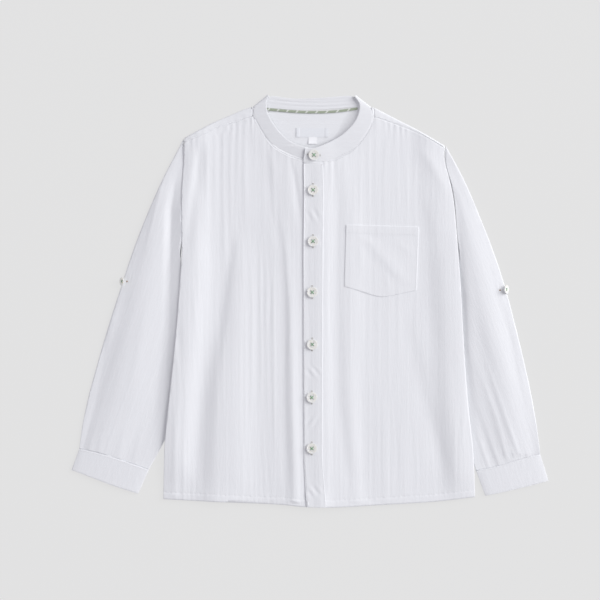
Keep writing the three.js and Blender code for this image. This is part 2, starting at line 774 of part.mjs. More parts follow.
function flatRing(pointAt, heightAt, width, wall, shares, inward = { x: 0, y: 0 }) {
  const hollow = Math.max(0.12, GAP / 2);
  const ring = (inner) => {
    const from = inner ? (wall + FOLD_EDGE_INSET / 2) / width : 0;
    const inset = inner ? 0 : FOLD_EDGE_INSET / width;
    const over = shares.map((share, i) => {
      const atFold = i === 0 || i === shares.length - 1;
      const point = pointAt(lerp(from, 1 - from, share));
      const top = heightAt(lerp(from, 1 - from, share), point);
      const height = inner
        ? Math.max(top - wall, wall + hollow)
        : top - (atFold ? FOLD_EDGE_RISE : 0);
      return settled(point, share, height);
    });
    const below = shares
      .filter((_, i) => i % 2 === 0 || i === shares.length - 1)
      .reverse()
      .map((share) => {
        const point = pointAt(lerp(from + inset, 1 - from - inset, share));
        return settled(point, share, inner ? wall : 0);
      });
    return [...over, ...below];
    // The hollow keeps clear of a fold that runs nearly along the ring
    function settled(point, share, height) {
      const away = inner ? (wall + FOLD_EDGE_INSET) * share ** HOLLOW_EASE : 0;
      return new THREE.Vector3(point.x + inward.x * away, point.y + inward.y * away, height);
    }
  };
  return { outer: ring(false), inner: ring(true) };
}

const SLEEVE_STATIONS = 17;
const SLEEVE_SHARES = [0, 0.04, 0.11, 0.19, 0.27, 0.35, 0.43, 0.51, 0.59, 0.67, 0.76, 0.88, 1];
const SLEEVE_FLAT = 2 * CLOTH + 0.5; // its height where it is pressed flat
const CROWN_END = 0.72; // the crown ends here and the tucked part is flat
const ARMHOLE_BLEND = 0.22;
const CUFF_BLEND_START = 0.8;
const FOLD_STEP = 0.03; // the share of the sleeve over which its inner fold's run is taken

function sleeve(rows, cuffRows, edgeAt, outward) {
  const value = Object.fromEntries(
    ["outerX", "outerY", "innerX", "innerY", "crown"].map((key) => [key, through(rows, "at", key)]),
  );
  const seamX = through(cuffRows, "share", "seamX");
  const seamY = through(cuffRows, "share", "seamY");
  const cuffSeamAt = (share) => new THREE.Vector2(seamX(share), seamY(share));
  // A unit step from the inner fold into the sleeve
  const inwardAt = (at) => {
    const [above, below] = [Math.max(at - FOLD_STEP, 0), Math.min(at + FOLD_STEP, 1)];
    const alongX = value.innerX(below) - value.innerX(above);
    const alongY = value.innerY(below) - value.innerY(above);
    const length = Math.hypot(alongX, alongY);
    return { x: (outward * Math.abs(alongY)) / length, y: (outward * alongX) / length };
  };
  const rings = spread(SLEEVE_STATIONS).map((at) => {
    const outer = new THREE.Vector2(value.outerX(at), value.outerY(at));
    const inner = new THREE.Vector2(value.innerX(at), value.innerY(at));
    const followsArmhole = 1 - smoothstep(at, 0, ARMHOLE_BLEND);
    const looseAt = (share) => {
      const point = outer.clone().lerp(inner, share);
      point.lerp(cuffSeamAt(share), smoothstep(at, CUFF_BLEND_START, 1));
      const startChord = lerp(rows[0].outerX, rows[0].innerX, share);
      const atArmhole = edgeAt(lerp(rows[0].outerY, rows[0].innerY, share))
        + outward * 2 * SEAM_HALF_GAP;
      point.x += (atArmhole - startChord) * followsArmhole;
      return point;
    };
    // How far the ring reaches past the armhole, as a share of the way from its outer fold
    const reachAt = (share) => {
      const point = looseAt(share);
      if (point.y <= tucks.left.underarm) return 0;
      const armhole = edgeAt(point.y) + outward * 2 * SEAM_HALF_GAP;
      return (outward * (armhole - point.x)) / share;
    };
    const held = Math.max(0, ...SLEEVE_SHARES.filter((share) => share > 0.5).map(reachAt));
    const pointAt = (share) => {
      const point = looseAt(share);
      point.x += outward * held * share;
      return point;
    };
    const heightAt = (share, point) => {
      const crown = value.crown(at) * Math.sin(Math.PI * Math.min(share / CROWN_END, 1)) ** 0.8;
      const fromFold = 1 - Math.exp(-share * 14);
      const creased = share < CROWN_END ? foldsAt(sleeveFolds, point.x, point.y) * fromFold : 0;
      const toCuff = Math.exp(-((1 - at) * outer.distanceTo(inner) * 3) / CUFF_GATHER_RUN);
      const wave = Math.cos(2 * Math.PI * CUFF_GATHERS * share) * CUFF_GATHER_HEIGHT;
      return SLEEVE_FLAT + Math.max(crown + creased + wave * toCuff, 0);
    };
    const width = outer.distanceTo(inner);
    return flatRing(pointAt, heightAt, width, CLOTH, SLEEVE_SHARES, inwardAt(at));
  });
  return wallBetween(rings.map((ring) => ring.outer), rings.map((ring) => ring.inner), true);
}

const CUFF_SHARES = [0, 0.06, 0.2, 0.35, 0.5, 0.65, 0.8, 0.94, 1];
const CUFF_FLAT = 2 * CUFF_WALL + 0.5;
const CUFF_CROWN = 0.8;
const CUFF_SEAM_SHARE = 0.018;

function cuff(rows) {
  const value = Object.fromEntries(
    ["seamX", "seamY", "edgeX", "edgeY"].map((key) => [key, through(rows, "share", key)]),
  );
  const rings = [CUFF_SEAM_SHARE, 0.3, 0.65, 1].map((down) => {
    const pointAt = (share) => ({
      x: lerp(value.seamX(share), value.edgeX(share), down),
      y: lerp(value.seamY(share), value.edgeY(share), down),
    });
    const heightAt = (share) => CUFF_FLAT + CUFF_CROWN * Math.sin(Math.PI * share);
    const ends = [pointAt(0), pointAt(1)];
    const width = Math.hypot(ends[1].x - ends[0].x, ends[1].y - ends[0].y);
    return flatRing(pointAt, heightAt, width, CUFF_WALL, CUFF_SHARES);
  });
  return wallBetween(rings.map((ring) => ring.outer), rings.map((ring) => ring.inner), true);
}

// A button with a raised rim and four thread holes, standing on z = 0
function buttonGeometry(radius) {
  const scale = radius / BUTTON_RADIUS;
  const profile = table(
    ["r", "z"],
    [0, 0],
    [4.6, 0],
    [6.35, 1],
    [6.1, 2.1],
    [5.2, 2.5],
    [4.3, 1.9],
    [0, 1.7],
  );
  const points = profile.map((row) => new THREE.Vector2(row.r * scale, row.z * scale));
  const disc = new THREE.LatheGeometry(points, BUTTON_SEGMENTS).rotateX(Math.PI / 2);
  let solid = solidOf(disc);
  if (solid.volume() < 0) throw new Error("the button's profile is reversed");
  for (const [sideX, sideY] of [[1, 1], [1, -1], [-1, 1], [-1, -1]]) {
    const hole = new THREE.CylinderGeometry(
      THREAD_HOLE_RADIUS * scale, THREAD_HOLE_RADIUS * scale, 8, 6,
    ).rotateX(Math.PI / 2);
    hole.translate(sideX * THREAD_HOLE_OFFSET * scale, sideY * THREAD_HOLE_OFFSET * scale, 0);
    solid = solid.subtract(solidOf(hole));
  }
  return geometryOf(solid);
}

const shirt = new THREE.Group();

function addPiece(name, geometry, cloth) {
  const mesh = new THREE.Mesh(geometry, cloth);
  mesh.name = name;
  shirt.add(mesh);
  return mesh;
}

addPiece("back_panel", backPanel(), shirting);
addPiece("yoke", yoke(), shirting);
addPiece("front_left", leftFront(), shirting);
addPiece("front_right", rightFront(), shirting);
addPiece("placket", placket(), shirting);
addPiece("collar_band", collarBand(), shirting);
addPiece("neck_tape", neckTape(), tapeCloth);
addPiece("main_label", flatLabel(-16.5, 21.5, 196.7, 207.5), labelCloth);
addPiece("size_label", flatLabel(-2, 8, 188.5, 196.2), labelCloth);
addPiece("pocket", patchPocket(), shirting);
addPiece("sleeve_left", sleeve(leftSleeve, leftCuff, leftEdgeAt, -1), shirting);
addPiece("sleeve_right", sleeve(rightSleeve, rightCuff, rightEdgeAt, 1), shirting);
addPiece("cuff_left", cuff(leftCuff), shirting);
addPiece("cuff_right", cuff(rightCuff), shirting);

const collarLean = Math.atan(COLLAR_RIM_RISE / 17.4);
for (const place of buttonPlaces) {
  const onCollar = place.name === "collar_button";
  const seat = onCollar
    ? frontUnder(place.x, 165.5) + collarOverlap(place.x, "front") + COLLAR_WALL
      + COLLAR_RIM_RISE * ((place.y - 165.5) / 17.4)
    : placketTop(place.x, place.y);
  const button = addPiece(place.name, buttonGeometry(BUTTON_RADIUS), buttonShell);
  button.position.set(place.x, place.y, seat + GAP + FACET_MARGIN);
  if (onCollar) button.rotation.x = collarLean;
}
for (const place of tabButtonPlaces) {
  const button = addPiece(place.name, buttonGeometry(TAB_BUTTON_RADIUS), buttonShell);
  button.position.set(place.x, place.y, place.z);
  button.rotation.y = degToRad(place.lean);
}

// The origin is the middle of the garment's footprint, on the table
const box = new THREE.Box3().setFromObject(shirt, true);
const middle = box.getCenter(new THREE.Vector3());
for (const mesh of shirt.children) mesh.position.sub(middle.clone().setZ(box.min.z));

export default shirt;
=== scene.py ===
"""A child's white shirt with a band collar, laid flat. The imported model's solids are dressed
for a render with cloth, sewing and buttons. Sizes are in millimetres and angles in degrees,
except where a comment says metres."""

import math

import bmesh
import bpy
import numpy as np
from mathutils import Matrix, Vector
from mathutils.bvhtree import BVHTree


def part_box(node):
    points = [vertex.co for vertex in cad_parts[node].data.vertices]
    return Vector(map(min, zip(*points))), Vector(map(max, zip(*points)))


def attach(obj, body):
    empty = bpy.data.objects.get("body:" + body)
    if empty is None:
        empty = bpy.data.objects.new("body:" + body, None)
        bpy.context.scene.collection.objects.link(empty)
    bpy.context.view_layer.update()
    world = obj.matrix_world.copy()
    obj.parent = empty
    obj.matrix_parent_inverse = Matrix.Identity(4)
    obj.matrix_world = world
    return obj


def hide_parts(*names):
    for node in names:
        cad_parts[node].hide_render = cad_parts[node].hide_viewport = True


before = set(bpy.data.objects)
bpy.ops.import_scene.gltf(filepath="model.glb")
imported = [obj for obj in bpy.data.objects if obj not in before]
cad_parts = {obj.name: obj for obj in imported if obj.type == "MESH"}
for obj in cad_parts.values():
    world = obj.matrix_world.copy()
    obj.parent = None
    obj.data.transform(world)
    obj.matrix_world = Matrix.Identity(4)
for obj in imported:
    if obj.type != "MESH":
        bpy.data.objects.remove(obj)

bl_info = {
    "name": "Band collar shirt",
    "version": (1, 0, 0),
    "blender": (4, 5, 0),
    "location": "3D View > Sidebar > Shirt",
    "description": "Dresses the solids of a flat-laid child's shirt with cloth, sewing and buttons",
    "category": "Object",
}

MM = 0.001

# The stage, in metres, with the lens and sensor in millimetres
TABLE_SIZE = 6
TABLE_DROP = 0.0006
TABLE_COLOR = (0.77, 0.77, 0.77)
TABLE_GLOW = 0.88
CAMERA_PLACE = (-0.0121, 0.0012, 3.0)
CAMERA_LENS = 150
CAMERA_SENSOR = 36
KEY_PLACE = (5.5, 2.4, 3.8)
KEY_SIZE = 5.2
KEY_POWER = 482
ROOM_COLOR = (0.995, 0.975, 1.04, 1)
ROOM_STRENGTH = 0.53

# Colours of the trims and threads
TAPE_STRIPE_COLOR = (0.72, 0.74, 0.7)
LABEL_COLOR = (0.8, 0.82, 0.85)
SIZE_TAB_COLOR = (0.91, 0.92, 0.94)
WHITE_THREAD_COLOR = (0.78, 0.79, 0.8)
# The buttonholes' thread is real thread, coloured grey as painted shade of the slit between its sides
HOLE_THREAD_SLIT_SHADE_COLOR = (0.5, 0.49, 0.46)
TACK_THREAD_COLOR = (0.36, 0.19, 0.08)
# The collar band's shirting is the body's white made this much darker all over
COLLAR_SHADE = 0.97

# Buttons. A ring is an inset of the face: its width and how far it drops.
BUTTON_RADIUS = 6.4
BUTTON_THICKNESS = 1.7
BUTTON_RINGS = ((0.5, 0.0), (0.5, 0.05), (0.5, 0.16), (0.7, 0.1), (1.1, 0.03))
BUTTON_BACK_SCALE = 0.74
BUTTON_ROUNDING = 0.2
HOLE_OFFSET = 1.7
HOLE_RADIUS = 0.62
COLLAR_BUTTON_LEAN = 4.9
TAB_BUTTON_LEAN = 57
TAB_BUTTON_SCALE = 0.82

# Threads. A stitch that would climb more than STITCH_CLIMB is left out.
STRAND_SIDES = 5
STRAND_LIFT = 0.12
STITCH_LENGTH = 2.1
STITCH_GAP = 0.9
STITCH_RADIUS = 0.17
STITCH_LIFT = 0.05
STITCH_CLIMB = 1.2
CROSS_RADIUS = 0.24
CROSS_SPACING = 0.3
HOLE_THREAD_RADIUS = 0.34
TACK_THREAD_RADIUS = 0.3
BUTTONHOLE_HALF = 7.9
BUTTONHOLE_SIDE = 0.62
BUTTONHOLE_BAR = 1.3

# How a solid becomes smooth cloth. The merge distance is in metres.
MERGE_DISTANCE = 2e-6
FLAT_ANGLE = 35
FOLD_ANGLE = 52
HELD_FOLD = 0.93
SMOOTH_ANGLE = 50
STRAND_SMOOTH_ANGLE = 60
DEEPEST_SHARE = 0.55

# Tables of the shirt's lines, x then y, from the middle of the layout
LEFT_YOKE_SEAM = [(-151, 190), (-142, 194.5), (-123.5, 202), (-110, 208.5), (-93, 213.5), (-68, 221)]
RIGHT_YOKE_SEAM = [(76, 220), (94, 215), (110.5, 209), (126, 203), (139.5, 196.5), (161, 183.5)]
NECK_SEAM = [
    (-68.6, 232.5), (-68.5, 226), (-67, 221.5), (-63.5, 215), (-56.5, 202), (-46.5, 188),
    (-37, 180.5), (-24, 174), (-10, 169.5), (3, 167.2),
]
RIGHT_NECK_SEAM = [
    (74, 232), (75.3, 226), (75, 220.5), (74, 213), (69, 203), (59.5, 190), (48.5, 179.5), (33.5, 171),
    (16.5, 166.5), (13.5, 166.1),
]
COLLAR_END = [(-7.6, 165.3), (15.6, 165.1), (19.4, 165.8)]
PLACKET_LEFT = [(-7.5, 163), (-7, 133), (-8.5, 36), (-7.5, -185), (-6, -216), (-3.4, -243)]
PLACKET_RIGHT = [(15.5, 163), (16.5, 133), (15.5, 36), (15, -185), (17.5, -216), (19.6, -243)]
POCKET_EDGE = [(43, 91.5), (130.5, 89), (127.5, 12.5), (85, 4), (41, 17.5), (43, 91.5)]
POCKET_HEM = [(44.5, 82), (128.8, 79.6)]
LEFT_ARMHOLE = [(-152, 187), (-151, 170.5), (-154, 133), (-154, 109), (-153.5, 68)]
HEM = [
    (-176, -237.5), (-108, -241), (-36, -244), (-3.5, -247), (22, -247.5), (84, -244.5),
    (144, -241), (198, -235),
]
HEM_WIDTH = 8.5
LEFT_CUFF_SEAM = [(-276.7, -177), (-256, -181.2), (-232, -188.5), (-193.2, -202)]
LEFT_CUFF_EDGE = [(-286, -202.5), (-261, -212), (-236, -221.5), (-206, -231)]
RIGHT_CUFF_SEAM = [(275.8, -183), (249, -190.6), (222, -198.4), (198.7, -203)]
RIGHT_CUFF_EDGE = [(286, -215.5), (259, -222.6), (232, -229), (210, -233.5)]
LEFT_SIDE = [
    (-151, 195), (-151, 170.5), (-154, 133), (-154, 109), (-153.5, 65), (-156, 21), (-161, -42),
    (-169, -119), (-174.5, -174), (-176, -240),
]
RIGHT_SIDE = [
    (162, 186), (160.5, 174), (162.5, 160), (168, 143.5), (172.5, 119), (174.5, 94.5), (177, 63.5),
    (180, 27), (183.5, -42), (187, -101), (190, -137.5), (194.5, -170), (198, -240),
]

# The band's rim inside the neck: x, y and how far the inner side reaches in there
NECK_INSIDE = [
    (54.1, 245, 3), (58.1, 240, 4.5), (59.9, 234.6, 7), (59.9, 229.2, 10), (58.7, 224.4, 13),
    (56.3, 219.6, 15), (51.5, 212.4, 15), (45.5, 205.2, 13), (38.3, 198, 9), (29.9, 191.4, 5.5),
    (21.5, 187, 3),
]
INSIDE_FOOT = 0.9
RIM_OVERHANG = 0.8

# The tape's middle line, and each label's lower left and upper right corner
TAPE_LINE = [
    (-60, 230.2), (-50.5, 230), (-36, 228.6), (-24, 227.5), (-10, 226.7), (0, 226.5), (15, 226.5),
    (30, 227.3), (44, 228.9), (56, 230.7), (66, 231.8),
]
TAPE_START = -60
TAPE_LENGTH = 126
TAPE_WIDTH = 2.8
TAPE_WALL = 0.5
MAIN_LABEL = ((-16.5, 196.7), (21.5, 207.5))
SIZE_TAB = ((-2, 188.5), (8, 197.2))
LABEL_WALL = 0.35

# The stitches that hold the roll-up tabs, and each buttonhole's middle and slant
TACKS = {"left": (-219.4, 23.5), "right": (227.5, 13)}
BUTTONHOLES = [
    (3.5, 133, 90), (3.5, 71.5, 90), (2.5, 10.5, 90), (2.5, -52, 90), (2, -115.5, 90),
    (2, -176.5, 90), (4.6, 174.9, -4),
]

# The narrow strips that close the seams, just under the cloth on both sides
SEAM_HALF_WIDTH = 1.9
SEAM_REACH = 2.3
SEAM_THICKNESS = 0.5
SEAM_SPACING = 2.5
END_SINK = 0.9
LOWEST_END = 0.1

# Where the left sleeve climbs to the body's side: rows of y, then x and height at the low
# end, x and height at the high end, and how far the cloth follows the slope, from 0 to 1
LEFT_WEDGE = [
    (181.2, -153.7, 3, -150.7, 4, 0), (145.2, -160.9, 3.4, -151.9, 5.2, 0.7),
    (109.2, -166.3, 3.4, -153, 7.5, 1), (25.2, -168.1, 4.2, -151.9, 8, 1),
    (-34.8, -168.5, 3.8, -159.1, 7.4, 1), (-70.8, -170.6, 3.6, -164.5, 6.5, 1),
    (-118.8, -174.6, 3.6, -170.2, 5, 1), (-154.8, -177, 3.2, -174.1, 3.9, 0.6),
    (-178.8, -180.1, 2.4, -176.5, 4, 0),
]
WEDGE_FADE = 10

# The fronts: shares of the fold table's heights, swells up to the placket and the collar, and
# the share of the first swell that is taken away under the placket
FRONT_FOLDS = {"left": 1.3, "right": 0.5}
SWELL_LEFT = 2.2
SWELL_LEFT_REACH = 60
SWELL_RIGHT = 2.0
SWELL_RIGHT_REACH = 64
UNDER_PLACKET = 0.85
NECK_SWELL = 0.7
NECK_SWELL_REACH = 26

# The body's side lines, how high they stand over the sleeves and how far in that reaches
SIDE_LIFTS = ((LEFT_SIDE, 2.5, 28), (RIGHT_SIDE, 0.8, 15))

# The sleeves: how full their outer folds are kept, over which reach, and the streaks' slant
EDGE_RISE = {"left": 1.3, "right": 1.9}
EDGE_REACH = 3.6
SLEEVE_SLANT = {"left": 0.35, "right": -0.35}
SLEEVE_TURN = 20

# The collar's under end swells, the placket's sewn side is lifted and the pocket is lowered.
# A pucker on the placket is at a y and has a slant.
UNDER_END_SWELL = 1.1
PLACKET_LIFT = 0.7
PLACKET_PUCKERS = ((-85, 0.8), (-145, -0.7), (-228, 0.7), (103, 0.5))
POCKET_SINK = 0.7

# Folds, each a line of places from top to bottom: x, y, the reach of its left and right
# flanks and its height, all in millimetres. A trough has a negative height.
BODY_FOLDS = [
    [
        (-130.9, 190.8, 4, 5, 0), (-133.3, 169.2, 4.5, 6, -0.9), (-138.1, 133.2, 5, 7, -1.1),
        (-144.1, 94.8, 5, 8, -0.9), (-146.5, 55.2, 5, 8, 0),
    ],
    [(-138.1, 103.2, 6, 8, 0), (-136.9, 73.2, 8, 9, 0.6), (-139.3, 31.2, 6, 8, 0)],
    [
        (-84.1, 82.8, 4, 16, 0), (-86.5, 61.2, 5, 22, 0.7), (-92.5, 21.6, 6, 28, 1.3),
        (-97.3, -24, 8, 32, 1.9), (-100.9, -55.2, 11, 34, 2.5), (-108.1, -106.8, 15, 36, 3.2),
        (-111.7, -166.8, 17, 38, 3.4), (-112.9, -208.8, 17, 38, 3.2), (-112.9, -235.2, 17, 38, 2.6),
    ],
    [
        (-36.1, 115.2, 3, 5, 0), (-28.9, 61.2, 4, 6, 0.6), (-24.7, 1.2, 5, 7, 1.1),
        (-22.9, -70.8, 6, 7, 1.5), (-22.3, -118.8, 7, 7, 1.6), (-20.5, -166.8, 7, 7, 1.6),
        (-18.1, -235.2, 7, 7, 1.2),
    ],
    [
        (-22.9, 171.6, 3, 3, 0), (-19.3, 151.2, 4, 3.5, -0.6), (-14.5, 121.2, 5, 3, -0.7),
        (-12.1, 91.2, 5, 3, 0),
    ],
    [(-46.9, 181.2, 3, 5, 0), (-44.5, 157.2, 3, 6, 0.5), (-43.3, 115.2, 3, 6, 0.4), (-38.5, 79.2, 3, 6, 0)],
    [(-158.5, -10.8, 3, 4, 0), (-157.3, -46.8, 3, 5, -0.5), (-156.1, -82.8, 3, 4, 0)],
    [(-160.9, -106.8, 4, 5, 0), (-162.1, -154.8, 4, 5, 0.5), (-163.3, -229.2, 4, 5, 0.4)],
    [
        (-123.7, 186, 2, 2.4, 0.1), (-124.3, 133.2, 2, 2.4, 0.22), (-126.1, 73.2, 2, 2.4, 0.1),
        (-127.3, 25.2, 2, 2.4, 0),
    ],
    [(-113.5, 193.2, 2, 2.4, 0.2), (-114.1, 121.2, 2.2, 2.6, 0.2), (-115.3, 43.2, 2, 2.6, 0)],
    [
        (-103.9, 195.6, 2, 2.6, 0.25), (-104.5, 145.2, 2, 2.6, 0.2), (-103.3, 61.2, 2, 2.6, 0.3),
        (-105.7, 31.2, 2, 2.6, 0),
    ],
    [(-94.9, 198, 2, 2.4, 0.25), (-95.5, 145.2, 2, 2.4, 0.25), (-94.9, 85.2, 2, 2.4, 0)],
    [(-85.9, 202.8, 2, 2.6, 0.25), (-86.5, 157.2, 2, 2.6, 0.25), (-87.7, 103.2, 2, 2.6, 0)],
    [(-79.3, 205.2, 2, 4, 0.2), (-79.3, 145.2, 2.4, 5, 0.35), (-76.9, 79.2, 3, 6, 0)],
    [
        (-69.1, 73.2, 2, 2.4, 0), (-69.1, 1.2, 2.2, 2.6, 0.28), (-69.7, -70.8, 2.2, 2.6, 0.28),
        (-70.9, -154.8, 2, 2.6, 0),
    ],
    [
        (-59.5, 91.2, 2, 2.4, 0), (-59.5, 13.2, 2, 2.4, 0.28), (-58.9, -82.8, 2, 2.4, 0.25),
        (-61.3, -166.8, 2, 2.4, 0),
    ],
    [
        (-51.7, 73.2, 2, 2.4, 0), (-52.3, -10.8, 2, 2.4, 0.25), (-51.7, -94.8, 2, 2.4, 0.2),
        (-50.5, -154.8, 2, 2.4, 0),
    ],
    [
        (-43.3, 49.2, 2, 2.6, 0), (-43.9, -34.8, 2.2, 2.6, 0.3), (-43.3, -118.8, 2, 2.6, 0.25),
        (-42.1, -190.8, 2, 2.6, 0),
    ],
    [(-136.9, 19.2, 2, 2.4, 0), (-138.1, -10.8, 2, 2.6, 0.3), (-135.7, -52.8, 2, 2.6, 0)],
    [(-151.3, -154.8, 2.4, 3, 0), (-151.3, -196.8, 2.4, 3, 0.25), (-151.3, -235.2, 2.4, 3, 0.2)],
    [
        (39.5, 181.2, 4, 6, 0), (40.1, 157.2, 5, 7, 0.9), (39.5, 103.2, 5, 8, 1), (38.3, 49.2, 6, 9, 1.2),
        (39.5, -22.8, 7, 9, 1.8), (40.7, -70.8, 7, 9, 1.9), (41.9, -118.8, 7, 9, 1.9),
        (45.5, -154.8, 7, 9, 1.8), (50.3, -196.8, 7, 9, 1.7), (56.3, -235.2, 7, 9, 1.3),
    ],
    [(25.1, 61.2, 3, 4, 0), (25.1, -34.8, 3, 4, -0.4), (25.1, -118.8, 3, 4, -0.3), (27.5, -178.8, 3, 4, 0)],
    [
        (130.7, 186, 4, 5, 0), (139.1, 174, 5, 6, 0.8), (148.7, 159.6, 5, 6, 1), (157.1, 142.8, 5, 6, 0.9),
        (163.1, 123.6, 4, 5, 0),
    ],
    [
        (131.9, 147.6, 5, 16, 0), (141.5, 115.2, 6, 22, 0.9), (149.9, 85.2, 7, 24, 1),
        (158.3, 46.8, 7, 18, 0),
    ],
    [
        (122.3, -13.2, 5, 14, 0), (130.7, -46.8, 7, 22, 1.1), (137.9, -73.2, 8, 25, 1.6),
        (145.1, -104.4, 9, 26, 1.7), (153.5, -133.2, 9, 26, 1.6), (161.9, -164.4, 9, 22, 1.3),
        (170.3, -193.2, 8, 16, 0.9), (177.5, -217.2, 6, 12, 0),
    ],
    [
        (143.9, 6, 10, 8, 0), (148.7, -28.8, 10, 8, -0.5), (153.5, -64.8, 9, 8, -0.4),
        (155.9, -94.8, 8, 8, 0),
    ],
    [
        (57.5, -34.8, 6, 7, 0), (58.7, -94.8, 7, 9, -0.7), (61.1, -154.8, 9, 12, -1.2),
        (64.7, -208.8, 9, 13, -1.2), (67.1, -235.2, 9, 13, -0.9),
    ],
    [
        (88.7, -94.8, 4, 5, 0), (88.7, -154.8, 4, 5, 0.4), (89.9, -214.8, 4, 5, 0.5),
        (89.9, -235.2, 4, 5, 0.3),
    ],
    [(110.3, -106.8, 4, 6, 0), (110.3, -166.8, 4, 7, 0.5), (112.7, -226.8, 4, 7, 0.5)],
    [(60.5, 181.2, 2, 2.6, 0.2), (60.5, 139.2, 2, 2.6, 0.25), (59.9, 97.2, 2, 2.6, 0)],
    [(70.1, 186, 2, 2.4, 0.25), (70.1, 145.2, 2, 2.4, 0.25), (69.5, 99.6, 2, 2.4, 0.1)],
    [(79.1, 190.8, 2, 2.6, 0.25), (77.9, 145.2, 2, 2.6, 0.2), (77.9, 102, 2, 2.6, 0.1)],
    [(91.1, 193.2, 2, 3, 0.25), (88.7, 145.2, 2.4, 3, 0.3), (89.9, 102, 2, 3, 0.2)],
    [(100.7, 195.6, 2, 3, 0.25), (100.7, 151.2, 2, 3, 0.15), (103.1, 115.2, 2, 3, 0)],
    [(111.5, 190.8, 2, 3, 0.2), (113.9, 151.2, 2, 3, 0.25), (117.5, 103.2, 2, 3, 0)],
    [(62.9, 10.8, 2, 2.6, 0.2), (62.3, -46.8, 2, 2.6, 0.3), (63.5, -118.8, 2, 2.6, 0)],
    [(71.9, 6, 2, 2.4, 0.2), (71.3, -58.8, 2, 2.4, 0.3), (73.1, -130.8, 2, 2.4, 0)],
    [(81.5, 3.6, 2, 2.6, 0.2), (80.9, -58.8, 2.2, 2.6, 0.25), (81.5, -124.8, 2, 2.6, 0)],
    [(94.1, 6, 2, 3, 0.2), (94.1, -52.8, 2.2, 3, 0.3), (93.5, -112.8, 2, 3, 0)],
    [(106.1, 8.4, 2, 3, 0.2), (106.7, -46.8, 2, 3, 0.3), (110.3, -100.8, 2, 3, 0)],
    [(19.1, 169.2, 2, 2, 0.3), (16.7, 147.6, 2, 2, 0.35), (19.1, 121.2, 2, 2, 0)],
    [(26.3, 171.6, 2, 2.4, 0.35), (25.1, 150, 2, 2.4, 0.3), (25.1, 115.2, 2, 2.4, 0)],
    [
        (173.9, 1.2, 4, 5, 0), (177.5, -70.8, 4, 6, 0.4), (183.5, -154.8, 4, 5, 0.4),
        (189.5, -229.2, 4, 5, 0.2),
    ],
]
POCKET_FOLDS = [
    [
        (62.3, 80.4, 5, 7, 0), (71.9, 69.6, 6, 9, 0.5), (88.7, 50.4, 7, 9, 0.6), (105.5, 31.2, 6, 8, 0.5),
        (115.1, 18, 5, 6, 0),
    ],
    [(103.1, 75.6, 4, 5, 0), (112.7, 63.6, 4, 6, 0.25), (122.3, 51.6, 4, 5, 0)],
    [(61.1, 82.8, 3, 5, 0), (61.1, 55.2, 3, 5, 0.35), (62.3, 18, 3, 5, 0)],
    [(91.1, 34.8, 3, 3, 0), (93.5, 20.4, 3, 3, 0.3), (94.7, 8.4, 3, 3, 0)],
]
LEFT_SLEEVE_TUCK = [
    (-221, -26, 18, 0), (-229.9, -58.8, 18, 2), (-240.7, -94.8, 19, 2.9),
    (-250.3, -130.8, 19, 3.1), (-261.7, -166.8, 14, 2.6), (-265.6, -180, 12, 1.9), (-270, -192, 9, 0),
]
LEFT_SLEEVE_FOLDS = [
    [
        (-168.1, 165.6, 6, 7, 0), (-178.9, 133.2, 9, 9, 1.3), (-184.9, 97.2, 11, 11, 1.7),
        (-195.7, 49.2, 13, 16, 1.3), (-208.9, 1.2, 14, 22, 1.2), (-219.1, -46.8, 14, 26, 0.8),
        (-226.3, -92.4, 14, 28, 0.5), (-233.1, -139.2, 14, 28, 0.2), (-240.5, -174, 12, 24, 0),
    ],
    [
        (-172.9, 159.6, 1.5, 2, 0), (-182.5, 121.2, 1.8, 2, 0.35), (-191.4, 86.4, 1.8, 2, 0.45),
        (-199.3, 54, 1.5, 2, 0),
    ],
    [
        (-192.1, 13.2, 5, 8, 0), (-202.9, -40.8, 5, 9, 0.5), (-211.3, -88.8, 5, 9, 0.4),
        (-218.5, -130.8, 5, 9, 0),
    ],
    [(-230.5, 1.2, 3, 4, 0), (-242.5, -46.8, 3, 4, 0.4), (-253.3, -88.8, 3, 4, 0)],
    [(-218.5, -142.8, 3, 4, 0), (-225.7, -169.2, 3, 4, 0.35), (-229.3, -186, 3, 4, 0.3)],
    [(-196.9, -130.8, 3, 5, 0), (-205.3, -166.8, 3, 5, 0.35), (-211.3, -193.2, 3, 5, 0.3)],
    [(-244.9, -147.6, 3, 3, 0), (-250.9, -169.2, 3, 3, 0.3), (-253.3, -181.2, 3, 3, 0.3)],
]
